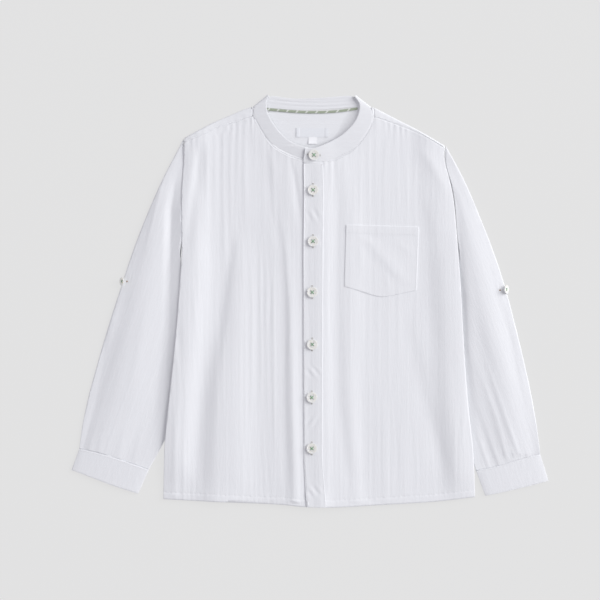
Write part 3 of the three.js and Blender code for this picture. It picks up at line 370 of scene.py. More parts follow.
RIGHT_SLEEVE_FOLDS = [
    [
        (160, 163.2, 5, 6, 0), (168, 139.2, 5, 6, 1.2), (171.5, 109.2, 6, 7, 2.9), (179.5, 61.2, 5, 8, 2.8),
        (188, 1.2, 4.5, 9.5, 2.3), (191, -58.8, 4.5, 10, 2), (199, -118.8, 6, 13, 1.4),
        (205, -166.8, 6, 12, 0),
    ],
    [
        (175.1, 163.2, 4, 22, 0), (182.3, 121.2, 6, 26, 1), (194.3, 61.2, 10, 26, 2),
        (206.3, 1.2, 13, 26, 2.4), (218.3, -46.8, 17, 24, 2.4), (227.9, -94.8, 20, 22, 2.2),
        (238.7, -142.8, 22, 20, 1.7), (247.1, -178.8, 20, 16, 0.8),
    ],
    [
        (196.7, -109.2, 3, 4, 0), (211.1, -152.4, 3, 4, 0.5), (223.1, -186, 3, 3, 0.6),
        (226.7, -195.6, 2.5, 3, 0.4),
    ],
    [
        (200.3, -76.8, 3, 4, 0), (220.7, -134.4, 3, 4, 0.6), (233.9, -181.2, 3, 3, 0.6),
        (237.5, -192, 2.5, 3, 0.3),
    ],
    [
        (203.9, -52.8, 2.5, 3, 0), (224.3, -112.8, 2.5, 3, 0.5), (243.5, -166.8, 2.5, 3, 0.6),
        (250.7, -186, 2.5, 3, 0.2),
    ],
    [
        (191.9, -128.4, 3, 3, 0), (201.5, -162, 3, 3, 0.5), (211.1, -190.8, 2.5, 3, 0.6),
        (213.5, -199.2, 2, 3, 0.3),
    ],
    [
        (227.9, 13.2, 3, 4, 0), (243.5, -40.8, 3, 5, 0.4), (255.5, -100.8, 3, 5, 0.4),
        (265.1, -154.8, 3, 4, 0),
    ],
    [(213.5, 73.2, 3, 5, 0), (226.7, 13.2, 3, 5, 0.3), (237.5, -46.8, 3, 5, 0)],
]


def piece_settings():
    """The sizes and colours that a user can change."""
    return bpy.context.scene.shirt_cloth


def along(points, spacing):
    """Evenly spaced places along a line of points: their x, y and the line's direction there."""
    line = np.array(points, float)
    steps = np.hypot(*np.diff(line, axis=0).T)
    reached = np.concatenate([[0], np.cumsum(steps)])
    count = max(2, int(round(reached[-1] / spacing)) + 1)
    at = np.linspace(0, reached[-1], count)
    x = np.interp(at, reached, line[:, 0])
    y = np.interp(at, reached, line[:, 1])
    return x, y, np.arctan2(np.gradient(y), np.gradient(x))


def distance_to(points, x, y):
    """Each place's distance to a line of points, and how far along the line it lies."""
    line = np.array(points, float)
    best = np.full(x.shape, 1e9)
    place = np.zeros(x.shape)
    reached = 0.0
    for (ax, ay), (bx, by) in zip(line[:-1], line[1:]):
        run = math.hypot(bx - ax, by - ay)
        share = np.clip(((x - ax) * (bx - ax) + (y - ay) * (by - ay)) / run**2, 0, 1)
        away = np.hypot(x - ax - share * (bx - ax), y - ay - share * (by - ay))
        nearer = away < best
        best = np.where(nearer, away, best)
        place = np.where(nearer, reached + share * run, place)
        reached += run
    return best, place


def line_x(points, y):
    """The x of a line at each y. The line's points run from top to bottom."""
    line = np.array(points[::-1], float)
    return np.interp(y, line[:, 1], line[:, 0])


def line_y(points, x):
    """The y of a line at each x. The line's points run from left to right."""
    line = np.array(points, float)
    return np.interp(x, line[:, 0], line[:, 1])


def over_seam(seam, x, y, margin):
    """How far each place lies above a seam, and whether it is between the seam's ends."""
    points = sorted(seam)
    inside = (x > points[0][0] - margin) & (x < points[-1][0] + margin)
    return y - line_y(points, x), inside


def ease(value, low, high):
    """0 up to low, 1 from high on, with a soft change between them."""
    share = np.clip((value - low) / (high - low), 0, 1)
    return share * share * (3 - 2 * share)


def folds(rows, x, y):
    """The height of the folds in a table at each place."""
    total = np.zeros(x.shape)
    for row in rows:
        line = np.array(row, float)[::-1]
        columns = (0, 2, 3, 4)
        crest, left, right, height = (np.interp(y, line[:, 1], line[:, column]) for column in columns)
        lean = np.interp(y, line[:, 1], np.gradient(line[:, 0]) / np.gradient(line[:, 1]))
        away = (x - crest) / np.hypot(1, lean)
        reach = np.where(away < 0, left, right)
        inside = (y >= line[0, 1] - 6) & (y <= line[-1, 1] + 6)
        total += np.where(inside, height * np.exp(-((away / reach) ** 2)), 0)
    return total


def tuck(rows, x, y):
    """The cloth outside a tuck's line falls away from it evenly, over a width in the table."""
    line = np.array(rows[::-1], float)
    crest, width, fall = (np.interp(y, line[:, 1], line[:, column]) for column in (0, 2, 3))
    away = np.clip((crest - x) * 0.94 / width, 0, 1)
    return np.where((y > line[0, 1]) & (y < line[-1, 1]), -fall * away, 0)


def streaks(x, y, lean=0.0):
    """The cloth's fine lengthwise drape: uneven, faint ridges some 5 to 12 mm apart."""
    across = x - lean * y
    wander = 1.6 * np.sin(y / 43 + x / 29) + 0.9 * np.sin(y / 19 + x / 17 + 1.1)
    fine = (
        np.sin((across + wander) / 1.52)
        + 0.9 * np.sin((across + 1.3 * wander) / 1.11 + 0.7)
        + 0.6 * np.sin((across - wander) / 0.83 + 2.1)
    )
    patches = 0.5 + 0.5 * np.sin(x / 23 + 0.8 + 1.3 * np.sin(y / 67)) * np.sin(y / 37 + x / 31 + 0.4)
    return 0.034 * fine * patches


def gathers(seam, x, y, pitch, run, height, side=1):
    """Small upright pleats below a seam, or above it where side is -1, fading from it."""
    above, inside = over_seam(seam, x, y, 2)
    down = np.clip(-above * side, 0, None)
    uneven = x + 1.3 * np.sin(x / 9.1 + 0.6) + 0.8 * np.sin(x / 3.7)
    reach = run * (1 + 0.5 * np.sin(x / 5.3 + 1.2))
    pleat = np.sin(2 * np.pi * uneven / pitch)
    strength = 0.7 + 0.3 * np.sin(x / 13 + 0.5)
    fade = np.exp(-((down / reach) ** 1.3)) * (1 - np.exp(-down / 0.8))
    return np.where(inside, height * strength * pleat * fade, 0)


def seam_groove(seam, x, y, offset):
    """The dent that a row of stitching presses beside a line, with its small puckers."""
    half_width, depth = 0.9, 0.22
    away, place = distance_to(seam, x, y)
    pucker = 1 + 0.45 * np.sin(place / 0.95) + 0.3 * np.sin(place / 2.3 + 1)
    return -depth * pucker * np.exp(-(((away - offset) / half_width) ** 2))


class Wire:
    """A socket of a finish. Arithmetic on it adds the Math nodes that work it out."""

    def __init__(self, finish, socket):
        self.finish = finish
        self.socket = socket

    def _with(self, operation, *values):
        return self.finish.add("ShaderNodeMath", {"operation": operation}, dict(enumerate(values)))

    def __add__(self, other):
        return self._with("ADD", self, other)

    __radd__ = __add__

    def __sub__(self, other):
        return self._with("SUBTRACT", self, other)

    def __rsub__(self, other):
        return self._with("SUBTRACT", other, self)

    def __mul__(self, other):
        return self._with("MULTIPLY", self, other)

    __rmul__ = __mul__

    def __truediv__(self, other):
        return self._with("DIVIDE", self, other)

    def wave(self, length, start=0.0):
        """A sine wave along the value. Its length is in the value's own unit."""
        turned = self * (2 * math.pi / length)
        return self._with("SINE", turned + start if start else turned)

    def fraction(self):
        return self._with("FRACT", self)

    def absolute(self):
        return self._with("ABSOLUTE", self)

    def between(self, low, high):
        """0 at low, 1 at high, with a soft change between them."""
        settings = {"interpolation_type": "SMOOTHSTEP"}
        values = {0: self, 1: low, 2: high, 3: 0.0, 4: 1.0}
        return self.finish.add("ShaderNodeMapRange", settings, values)


class Finish:
    """A material under construction, whose nodes come from add and from arithmetic on wires."""

    def __init__(self, name):
        self.material = bpy.data.materials.new(name)
        self.material.use_nodes = True
        self.tree = self.material.node_tree
        self.tree.nodes.clear()
        self.shader = self.tree.nodes.new("ShaderNodeBsdfPrincipled")
        output = self.tree.nodes.new("ShaderNodeOutputMaterial")
        self.tree.links.new(self.shader.outputs[0], output.inputs[0])

    def add(self, kind, settings, values, output=0):
        """Adds a node, gives it its settings, then its values or links, and returns an output."""
        node = self.tree.nodes.new(kind)
        for name, value in settings.items():
            setattr(node, name, value)
        for name, value in values.items():
            self.feed(node.inputs[name], value)
        return Wire(self, node.outputs[output])

    def feed(self, socket, value):
        if isinstance(value, Wire):
            self.tree.links.new(value.socket, socket)
        else:
            socket.default_value = value

    def set(self, **values):
        for name, value in values.items():
            self.feed(self.shader.inputs[name.replace("_", " ")], value)

    def place(self, turn=0.0):
        """Object coordinates in millimetres, turned about Z."""
        here = self.add("ShaderNodeTexCoord", {}, {}, "Object")
        values = {"Vector": here, "Rotation": (0, 0, turn), "Scale": (1000, 1000, 1000)}
        return self.add("ShaderNodeMapping", {"vector_type": "POINT"}, values)

    def stretched(self, vector, scale):
        return self.add("ShaderNodeMapping", {}, {"Vector": vector, "Scale": scale})

    def split(self, vector):
        """The x and the y of a vector."""
        return [self.add("ShaderNodeSeparateXYZ", {}, {0: vector}, axis) for axis in "XY"]

    def noise(self, vector, scale, detail=2.0, roughness=0.5):
        values = {"Vector": vector, "Scale": scale, "Detail": detail, "Roughness": roughness}
        return self.add("ShaderNodeTexNoise", {}, values, 0)

    def blend(self, share, first, second):
        settings = {"data_type": "RGBA", "blend_type": "MIX"}
        return self.add("ShaderNodeMix", settings, {0: share, 6: first, 7: second}, 2)

    def bump(self, height, distance, strength=1.0):
        """Relief in the finish. The distance is in metres."""
        values = {"Height": height, "Distance": distance, "Strength": strength}
        self.feed(self.shader.inputs["Normal"], self.add("ShaderNodeBump", {}, values))


def shade(color, amount):
    """A colour made lighter or darker, with its alpha."""
    return tuple(min(1, channel * amount) for channel in color) + (1.0,)


def shirting_finish(name, color, turn=0.0):
    """White cotton shirting: a plain weave with a faint lengthwise stripe and fine slubs."""
    finish = Finish(name)
    place = finish.place(turn)
    x, y = finish.split(place)
    pick = x.wave(0.62) * y.wave(0.7)
    slub = finish.noise(finish.stretched(place, (1.6, 0.12, 1)), 1.0, 3.0)
    cloud = finish.noise(place, 0.03, 2.0)
    stripe = x.wave(11.4).between(0.55, 0.95)
    thin = x.wave(3.8, 0.9).between(0.6, 1.0)
    tone = slub * 0.5 + cloud * 0.3 + stripe * 0.14 + thin * 0.06
    finish.set(
        Base_Color=finish.blend(tone, shade(color, 0.955), shade(color, 1.02)),
        Roughness=0.86 + 0.08 * slub,
        Sheen_Weight=0.12,
        Sheen_Roughness=0.6,
        Specular_IOR_Level=0.25,
    )
    crinkle = finish.noise(finish.stretched(place, (0.5, 0.11, 0.3)), 1.0, 3.0, 0.55)
    finish.bump(pick * 0.1 + slub * 0.25 + stripe * 0.12 + crinkle * 0.9, 0.00018, 1.0)
    return finish.material


def tape_finish(color, stripe_color):
    """Woven neck tape with thin pale diagonal stripes."""
    finish = Finish("neck_tape_cloth")
    place = finish.place()
    x, y = finish.split(place)
    rib = y.wave(0.5)
    slant = (x - y * 0.85 + 239.0) / 12.06
    stripe = 1 - (slant.fraction() - 0.5).absolute().between(0.07, 0.1)
    slub = finish.noise(place, 1.4, 3.0)
    ground = finish.blend(slub, shade(color, 0.84), shade(color, 1.12))
    finish.set(
        Base_Color=finish.blend(stripe, ground, shade(stripe_color, 1.0)),
        Roughness=0.82 + 0.1 * slub,
        Sheen_Weight=0.1,
    )
    finish.bump(rib * 0.5 + stripe * 0.6 + slub * 0.5, 0.00015, 0.6)
    return finish.material


def label_finish(name, color):
    """Smooth white label cloth with a fine rib."""
    finish = Finish(name)
    place = finish.place()
    x, y = finish.split(place)
    rib = x.wave(0.45) * 0.5 + y.wave(0.8) * 0.5
    slub = finish.noise(place, 0.9, 3.0)
    finish.set(
        Base_Color=finish.blend(slub, shade(color, 0.93), shade(color, 1.02)),
        Roughness=0.55 + 0.15 * slub,
        Sheen_Weight=0.15,
    )
    finish.bump(rib * 0.5 + slub, 0.00008, 0.5)
    return finish.material


def pearl_finish(color):
    """Off-white pearly button, clouded inside, a little translucent and softly glossy."""
    finish = Finish("button_pearl")
    place = finish.place()
    cloud = finish.noise(place, 0.35, 4.0, 0.6)
    vein = finish.noise(finish.stretched(place, (0.5, 1.6, 1)), 0.5, 3.0)
    finish.set(
        Base_Color=finish.blend(cloud * 0.6 + vein * 0.4, shade(color, 0.86), shade(color, 1.06)),
        Roughness=0.4 + 0.16 * vein,
        Coat_Weight=0.15,
        Coat_Roughness=0.3,
        Subsurface_Weight=0.6,
        Subsurface_Radius=(1.0, 0.95, 0.85),
        Subsurface_Scale=0.003,
    )
    finish.bump(vein, 0.00004, 0.3)
    return finish.material


def thread_finish(name, color):
    """Twisted sewing thread."""
    finish = Finish(name)
    place = finish.place()
    x, y = finish.split(place)
    twist = (x + y).wave(0.35)
    tone = finish.noise(place, 2.0, 2.0)
    finish.set(
        Base_Color=finish.blend(tone, shade(color, 0.82), shade(color, 1.15)),
        Roughness=0.7 + 0.1 * tone,
        Sheen_Weight=0.1,
    )
    finish.bump(twist * 0.5 + tone, 0.00005, 0.5)
    return finish.material


def floor_finish(color):
    """A plain pale table that takes only faint shadows."""
    finish = Finish("pale_table")
    place = finish.place()
    tone = finish.noise(place, 0.01, 1.0)
    dim = 1 - TABLE_GLOW
    finish.set(
        Base_Color=finish.blend(tone, shade(color, 0.995 * dim), shade(color, dim)),
        Roughness=1.0,
        Specular_IOR_Level=0.0,
        Emission_Color=shade(color, 1.0),
        Emission_Strength=TABLE_GLOW,
    )
    return finish.material


def put_on(thing, material):
    thing.data.materials.clear()
    thing.data.materials.append(material)


def deselect():
    if bpy.context.object and bpy.context.object.mode != "OBJECT":
        bpy.ops.object.mode_set(mode="OBJECT")
    bpy.ops.object.select_all(action="DESELECT")


def make_active(thing):
    deselect()
    thing.select_set(True)
    bpy.context.view_layer.objects.active = thing


def apply_modifiers(thing):
    make_active(thing)
    for modifier in list(thing.modifiers):
        bpy.ops.object.modifier_apply(modifier=modifier.name)


def smooth_by_angle(thing, degrees):
    make_active(thing)
    bpy.ops.object.shade_smooth_by_angle(angle=math.radians(degrees))


def link_piece(name, mesh):
    """A new object on a mesh, at the origin."""
    piece = bpy.data.objects.new(name, mesh)
    bpy.context.scene.collection.objects.link(piece)
    return piece


def cloth_from(node, name, levels, finer_across=False):
    """A smooth cloth form on a soft solid: its triangles joined into quads, its folded
    edges kept, and Catmull-Clark subdivision over them."""
    form = bmesh.new()
    form.from_mesh(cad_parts[node].data)
    bmesh.ops.remove_doubles(form, verts=form.verts[:], dist=MERGE_DISTANCE)
    bmesh.ops.join_triangles(
        form,
        faces=form.faces[:],
        cmp_seam=False, cmp_sharp=False, cmp_uvs=False, cmp_vcols=False, cmp_materials=False,
        angle_face_threshold=math.radians(FLAT_ANGLE),
        angle_shape_threshold=math.radians(180),
    )
    hold = form.edges.layers.float.new("crease_edge")
    for edge in form.edges:
        if len(edge.link_faces) == 2 and edge.calc_face_angle(0) > math.radians(FOLD_ANGLE):
            edge[hold] = HELD_FOLD
    for vertex in form.verts:
        vertex.normal_update()
    mesh = bpy.data.meshes.new(name)
    form.to_mesh(mesh)
    form.free()
    cloth = link_piece(name, mesh)
    smoothing = cloth.modifiers.new("smooth cloth", "SUBSURF")
    smoothing.levels = smoothing.render_levels = levels
    smoothing.boundary_smooth = "PRESERVE_CORNERS"
    apply_modifiers(cloth)
    if finer_across:
        cut_across(cloth)
    return cloth


def cut_across(cloth):
    """Halves the edges that run across the upper layer, so that narrow creases can form."""
    form = bmesh.new()
    form.from_mesh(cloth.data)
    chosen = set()
    for face in form.faces:
        if face.normal.z < 0.3:
            continue
        for edge in face.edges:
            run = edge.verts[1].co - edge.verts[0].co
            if abs(run.x) > 2.2 * abs(run.y):
                chosen.add(edge)
    bmesh.ops.subdivide_edges(form, edges=list(chosen), cuts=1, use_grid_fill=True)
    form.to_mesh(cloth.data)
    form.free()


def shape_cloth(cloth, relief, low=None, high=None):
    """Adds relief(x, y) to the cloth's height. Between the heights low and high it grows from
    nothing to its whole, so that a lower layer stays where it is."""
    places = places_of(cloth)
    rise = relief(places[:, 0], places[:, 1])
    if high is not None:
        rise = rise * ease(places[:, 2], low, high)
        rise = np.maximum(rise, np.minimum(DEEPEST_SHARE * (low - places[:, 2]), 0))
    places[:, 2] += rise
    set_places(cloth, places)


def places_of(cloth):
    """The cloth's vertices in millimetres, one row each."""
    places = np.empty(len(cloth.data.vertices) * 3)
    cloth.data.vertices.foreach_get("co", places)
    return places.reshape(-1, 3) / MM


def set_places(cloth, places):
    cloth.data.vertices.foreach_set("co", (places * MM).ravel())
    cloth.data.update()


def bend_cloth(cloth, rows, low, high):
    """Lifts a cloth's upper layer to the slope in a table. Outside the slope's low end it
    blends into the cloth as it was."""
    places = places_of(cloth)
    x, y, z = places.T
    line = np.array(sorted(rows), float)
    low_x, low_z, high_x, high_z, follow = (np.interp(y, line[:, 0], line[:, at]) for at in range(1, 6))
    slope = low_z + (high_z - low_z) * np.clip((x - low_x) / (high_x - low_x), 0, 1)
    follow = follow * ease(x, low_x - WEDGE_FADE, low_x) * ease(z, low, high)
    tree = surface_of([cloth])
    for index in np.nonzero(follow > 0)[0]:
        top = height_at(tree, x[index], y[index])
        if top is not None:
            places[index, 2] += follow[index] * (slope[index] - top)
    set_places(cloth, places)


def square_edge(cloth, side):
    """Keeps a sleeve's outer edge full up to its fold, instead of rounding away early."""
    places = places_of(cloth)
    x, y, z = places.T
    rows = np.arange(y.min() + 2, y.max(), 4)
    outermost = np.max if side == "right" else np.min
    ends = [outermost(x[np.abs(y - row) < 4]) for row in rows]
    inward = np.abs(np.interp(y, rows, ends) - x) * 0.94
    above_cuff = ease(y, -196, -176)
    places[:, 2] += EDGE_RISE[side] * np.exp(-inward / EDGE_REACH) * ease(z, 1.2, 2.2) * above_cuff
    set_places(cloth, places)


def surface_of(things):
    """A search tree over finished pieces, for laying stitches on them."""
    vertices, polygons = [], []
    for thing in things:
        base = len(vertices)
        vertices += [vertex.co.copy() for vertex in thing.data.vertices]
        polygons += [[base + index for index in face.vertices] for face in thing.data.polygons]
    return BVHTree.FromPolygons(vertices, polygons)


def height_at(tree, x, y):
    """The top of the cloth at a place in millimetres, in millimetres."""
    hit = tree.ray_cast(Vector((x * MM, y * MM, 0.05)), Vector((0, 0, -1)))
    return None if hit[0] is None else hit[0].z / MM


def add_strand(vertices, faces, start, end, radius):
    """One stitch: a low five-sided strand, pointed at both ends, lying from start to end."""
    run = (end - start).normalized()
    side = run.cross(Vector((0, 0, 1))).normalized()
    up = side.cross(run).normalized()
    base = len(vertices)
    rings = ((0.12, 0.75), (0.5, 1.0), (0.88, 0.75))
    vertices.append(start)
    for share, swell in rings:
        middle = start.lerp(end, share)
        for turn in range(STRAND_SIDES):
            angle = 2 * math.pi * turn / STRAND_SIDES
            out = side * math.cos(angle) + up * math.sin(angle) * 0.8
            vertices.append(middle + out * radius * swell)
    vertices.append(end)
    last = base + 1 + (len(rings) - 1) * STRAND_SIDES
    for turn in range(STRAND_SIDES):
        after = (turn + 1) % STRAND_SIDES
        faces.append((base, base + 1 + after, base + 1 + turn))
        for first in range(base + 1, last, STRAND_SIDES):
            following = first + STRAND_SIDES
            faces.append((first + turn, first + after, following + after, following + turn))
        faces.append((last + turn, last + after, last + STRAND_SIDES))


def strand_piece(name, vertices, faces):
    """The strands that were added to these lists, as one piece."""
    mesh = bpy.data.meshes.new(name)
    mesh.from_pydata([tuple(vertex) for vertex in vertices], [], faces)
    mesh.validate()
    strands = link_piece(name, mesh)
    smooth_by_angle(strands, STRAND_SMOOTH_ANGLE)
    return strands


def sew(name, rows, tree, material):
    """Rows of stitches laid on finished pieces, as one piece."""
    vertices, faces = [], []
    for row in rows:
        x, y, direction = along(row, STITCH_LENGTH + STITCH_GAP)
        for px, py, angle in zip(x[:-1], y[:-1], direction[:-1]):
            half = Vector((math.cos(angle), math.sin(angle))) * (STITCH_LENGTH / 2)
            ends = []
            for sign in (-1, 1):
                end_x, end_y = px + sign * half.x, py + sign * half.y
                top = height_at(tree, end_x, end_y)
                if top is not None:
                    ends.append(Vector((end_x, end_y, top + STITCH_LIFT)) * MM)
            if len(ends) == 2 and abs(ends[0].z - ends[1].z) < STITCH_CLIMB * MM:
                add_strand(vertices, faces, ends[0], ends[1], STITCH_RADIUS * MM)
    stitches = strand_piece(name, vertices, faces)
    put_on(stitches, material)
    return stitches


def lay_strands(name, lines, tree, radius, material):
    """Single strands of thread laid on finished pieces, each from one place to another."""
    vertices, faces = [], []
    for line in lines:
        start, end = (
            Vector((x, y, (height_at(tree, x, y) or 0) + STRAND_LIFT)) * MM for x, y in line
        )
        add_strand(vertices, faces, start, end, radius * MM)
    strands = strand_piece(name, vertices, faces)
    put_on(strands, material)
    return strands


def buttonhole(x, y, degrees):
    """The strands of a worked buttonhole: its two sides in short runs and a bar at each end.
    Their grey thread also paints the shade of the slit between the sides.
    """
    run = (math.cos(math.radians(degrees)), math.sin(math.radians(degrees)))
    side = (-run[1], run[0])

    def at(along_way, aside):
        return x + run[0] * along_way + side[0] * aside, y + run[1] * along_way + side[1] * aside

    lines = []
    for aside in (-BUTTONHOLE_SIDE, BUTTONHOLE_SIDE):
        for step in range(6):
            start = -BUTTONHOLE_HALF + step * BUTTONHOLE_HALF / 3
            lines.append((at(start, aside), at(start + BUTTONHOLE_HALF / 3 + 0.3, aside)))
    for end in (-BUTTONHOLE_HALF, BUTTONHOLE_HALF):
        lines.append((at(end, -BUTTONHOLE_BAR), at(end, BUTTONHOLE_BAR)))
    return lines


def tack_lines(place):
    """The crossed stitches that hold a roll-up tab on the inside of a sleeve."""
    lines = []
    for turn, reach in ((20, 1.0), (75, 1.3), (120, 0.9), (165, 1.2)):
        angle = math.radians(turn)
        across, up = reach * math.cos(angle), reach * math.sin(angle)
        lines.append(((place[0] - across, place[1] - up), (place[0] + across, place[1] + up)))
    return lines


def beside(points, offset):
    """A line moved sideways, to its left where offset is positive."""
    x, y, direction = along(points, 4)
    return list(zip(x - offset * np.sin(direction), y + offset * np.cos(direction)))


def strip_along(line, tree, depth, level):
    """A narrow closed strip that bridges a seam at a depth under the cloth on both its sides,
    or on its lower side where it is level."""
    x, y, direction = along(line, SEAM_SPACING)
    vertices, faces = [], []
    for px, py, angle in zip(x, y, direction):
        side = (-math.sin(angle), math.cos(angle))
        tops = [
            height_at(tree, px + sign * SEAM_REACH * side[0], py + sign * SEAM_REACH * side[1])
            for sign in (-1, 1)
        ]
        known = [top for top in tops if top is not None and top > 0.5]
        if not known:
            continue
        first, second = (top if top in known and not level else min(known) for top in tops)
        base = len(vertices)
        corners = (
            (-1, first), (1, second), (1, second - SEAM_THICKNESS), (-1, first - SEAM_THICKNESS),
        )
        for sign, z in corners:
            out = sign * SEAM_HALF_WIDTH
            vertices.append((px + out * side[0], py + out * side[1], z - depth))
        if base:
            for corner in range(4):
                after = (corner + 1) % 4
                faces.append((base - 4 + corner, base - 4 + after, base + after, base + corner))
    faces.append((0, 1, 2, 3))
    last = len(vertices) - 4
    for index in (0, 1, 2, 3, last, last + 1, last + 2, last + 3):
        x, y, z = vertices[index]
        vertices[index] = (x, y, max(z - END_SINK, LOWEST_END))
    faces.append((last + 3, last + 2, last + 1, last))
    return vertices, faces


def inner_side(rows, tree, drop):
    """The band's inner side: a closed strip that curves from its rim down to the back."""
    vertices, faces = [], []
    shares = (0, 0.07, 0.14, 0.22, 0.3, 0.38, 0.46, 0.55, 0.64, 0.74, 0.86, 1)
    line = np.array(rows, float)
    run = np.gradient(line[:, :2], axis=0)
    inward = np.stack([run[:, 1], -run[:, 0]], axis=1) / np.hypot(*run.T)[:, None]
    for (x, y, reach), (in_x, in_y) in zip(rows, inward):
        rim = height_at(tree, x - 1.2 * in_x, y - 1.2 * in_y) - drop
        below = height_at(tree, x + reach * in_x, y + reach * in_y)
        foot = INSIDE_FOOT if below is None else below - 0.02
        base = len(vertices)
        for share in shares:
            out = RIM_OVERHANG - share * (reach + RIM_OVERHANG)
            vertices.append((x - out * in_x, y - out * in_y, foot + (rim - foot) * (1 - share) ** 3))
        vertices.append((x + reach * in_x, y + reach * in_y, foot - 0.3))
        vertices.append((x - RIM_OVERHANG * in_x, y - RIM_OVERHANG * in_y, foot - 0.3))
        size = len(vertices) - base
        if base:
            for corner in range(size):
                after = (corner + 1) % size
                faces.append((base - size + corner, base - size + after, base + after, base + corner))
    faces.append(tuple(range(size)))
    faces.append(tuple(reversed(range(len(vertices) - size, len(vertices)))))
    return vertices, faces


def join_strip(cloth, strip):
    """Adds a strip's vertices, in millimetres, and faces to a cloth's mesh."""
    vertices, faces = strip
    form = bmesh.new()
    form.from_mesh(cloth.data)
    new = [form.verts.new(Vector(vertex) * MM) for vertex in vertices]
    made_faces = [form.faces.new([new[index] for index in face]) for face in faces]
    bmesh.ops.recalc_face_normals(form, faces=made_faces)
    for face in made_faces:
        face.smooth = True
    form.to_mesh(cloth.data)
    form.free()


def dress(cloth, node):
    """Hangs the cloth under the root and hides the solid that it stands for."""
    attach(cloth, "root")
    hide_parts(node)


def button_place(name, low, high):
    """Where a button model, lying on its back at the origin, goes to stand for its node."""
    leans = {
        "collar_button": (COLLAR_BUTTON_LEAN, "X", 1.0),
        "sleeve_button_left": (-TAB_BUTTON_LEAN, "Y", TAB_BUTTON_SCALE),
        "sleeve_button_right": (TAB_BUTTON_LEAN, "Y", TAB_BUTTON_SCALE),
    }
    lean, axis, scale = leans.get(name, (0, "X", 1.0))
    middle = Matrix.Translation((low + high) / 2)
    turn = Matrix.Rotation(math.radians(lean), 4, axis)
    down = Matrix.Translation((0, 0, -BUTTON_THICKNESS * MM / 2))
    return middle @ turn @ Matrix.Scale(scale, 4) @ down


def select_faces(thing, chosen):
    """In edit mode, selects the faces for which chosen(face) is true, and no others."""
    form = bmesh.from_edit_mesh(thing.data)
    for face in form.faces:
        face.select_set(chosen(face))
    bmesh.update_edit_mesh(thing.data)


def model_button():
    """A pearly button: rounded edge, raised rim, dished middle and four holes."""
    deselect()
    bpy.ops.mesh.primitive_cylinder_add(
        vertices=40, radius=BUTTON_RADIUS * MM, depth=BUTTON_THICKNESS * MM,
        location=(0, 0, BUTTON_THICKNESS * MM / 2),
    )
    button = bpy.context.object
    button.name = "button_model"
    bpy.ops.object.transform_apply(location=True, rotation=True, scale=True)
    bpy.ops.object.mode_set(mode="EDIT")
    bpy.ops.mesh.select_mode(type="FACE")
    select_faces(button, lambda face: face.normal.z > 0.9)
    for width, drop in BUTTON_RINGS:
        bpy.ops.mesh.inset(thickness=width * MM, depth=-drop * MM)
    select_faces(button, lambda face: face.normal.z < -0.9)
    bpy.ops.transform.resize(value=(BUTTON_BACK_SCALE, BUTTON_BACK_SCALE, 1))
    bpy.ops.mesh.select_all(action="DESELECT")
    bpy.ops.object.mode_set(mode="OBJECT")
    rounding = button.modifiers.new("rounded edges", "BEVEL")
    rounding.width = BUTTON_ROUNDING * MM
    rounding.segments = 3
    rounding.limit_method = "ANGLE"
    rounding.angle_limit = math.radians(30)
    apply_modifiers(button)
    for side_x, side_y in ((1, 1), (1, -1), (-1, 1), (-1, -1)):
        deselect()
        bpy.ops.mesh.primitive_cylinder_add(
            vertices=14, radius=HOLE_RADIUS * MM, depth=8 * MM,
            location=(side_x * HOLE_OFFSET * MM, side_y * HOLE_OFFSET * MM, 0),
        )
        drill = bpy.context.object
        cut = button.modifiers.new("hole", "BOOLEAN")
        cut.operation = "DIFFERENCE"
        cut.object = drill
        cut.solver = "EXACT"
        apply_modifiers(button)
        bpy.data.objects.remove(drill)
    smooth_by_angle(button, 40)
    return button


def model_cross_thread():
    """Thread crossed through a button's holes: a few strands each way, over its face."""
    vertices, faces = [], []
    top = BUTTON_THICKNESS - 0.32
    reach = HOLE_OFFSET * math.sqrt(2) + 0.1
    crown = Vector((0, 0, 0.22))
    dip = Vector((0, 0, 0.5))
    for turn, lift in ((45, 0.0), (135, 0.22)):
        angle = math.radians(turn)
        along_way = Vector((math.cos(angle), math.sin(angle), 0))
        side = Vector((-along_way.y, along_way.x, 0))
        for offset in (-CROSS_SPACING, 0.0, CROSS_SPACING):
            shift = side * offset + Vector((0, 0, top + lift))
            points = (
                shift - along_way * reach - dip, shift - along_way * reach * 0.75, shift + crown,
                shift + along_way * reach * 0.75, shift + along_way * reach - dip,
            )
            for start, end in zip(points[:-1], points[1:]):
                add_strand(vertices, faces, start * MM, end * MM, CROSS_RADIUS * MM)
    return strand_piece("thread_model", vertices, faces)


finishes = {}
made = {}


class ShirtCloth(bpy.types.PropertyGroup):
    """Colours and depths of the cloth"""

    white: bpy.props.FloatVectorProperty(
        name="Shirting", description="Colour of the white cotton", default=(0.806, 0.819, 0.84),
        subtype="COLOR", size=3, min=0, max=1,
    )
    tape: bpy.props.FloatVectorProperty(
        name="Neck tape", description="Ground colour of the neck tape", default=(0.37, 0.42, 0.32),
        subtype="COLOR", size=3, min=0, max=1,
    )
    button: bpy.props.FloatVectorProperty(
        name="Buttons", description="Colour of the buttons", default=(0.82, 0.815, 0.77),
        subtype="COLOR", size=3, min=0, max=1,
    )
    green: bpy.props.FloatVectorProperty(
        name="Button thread", description="Colour of the thread in the buttons",
        default=(0.24, 0.42, 0.26), subtype="COLOR", size=3, min=0, max=1,
    )
    fold_height: bpy.props.FloatProperty(
        name="Fold height", description="Scale of the folds' heights", default=0.86, min=0, max=3,
    )


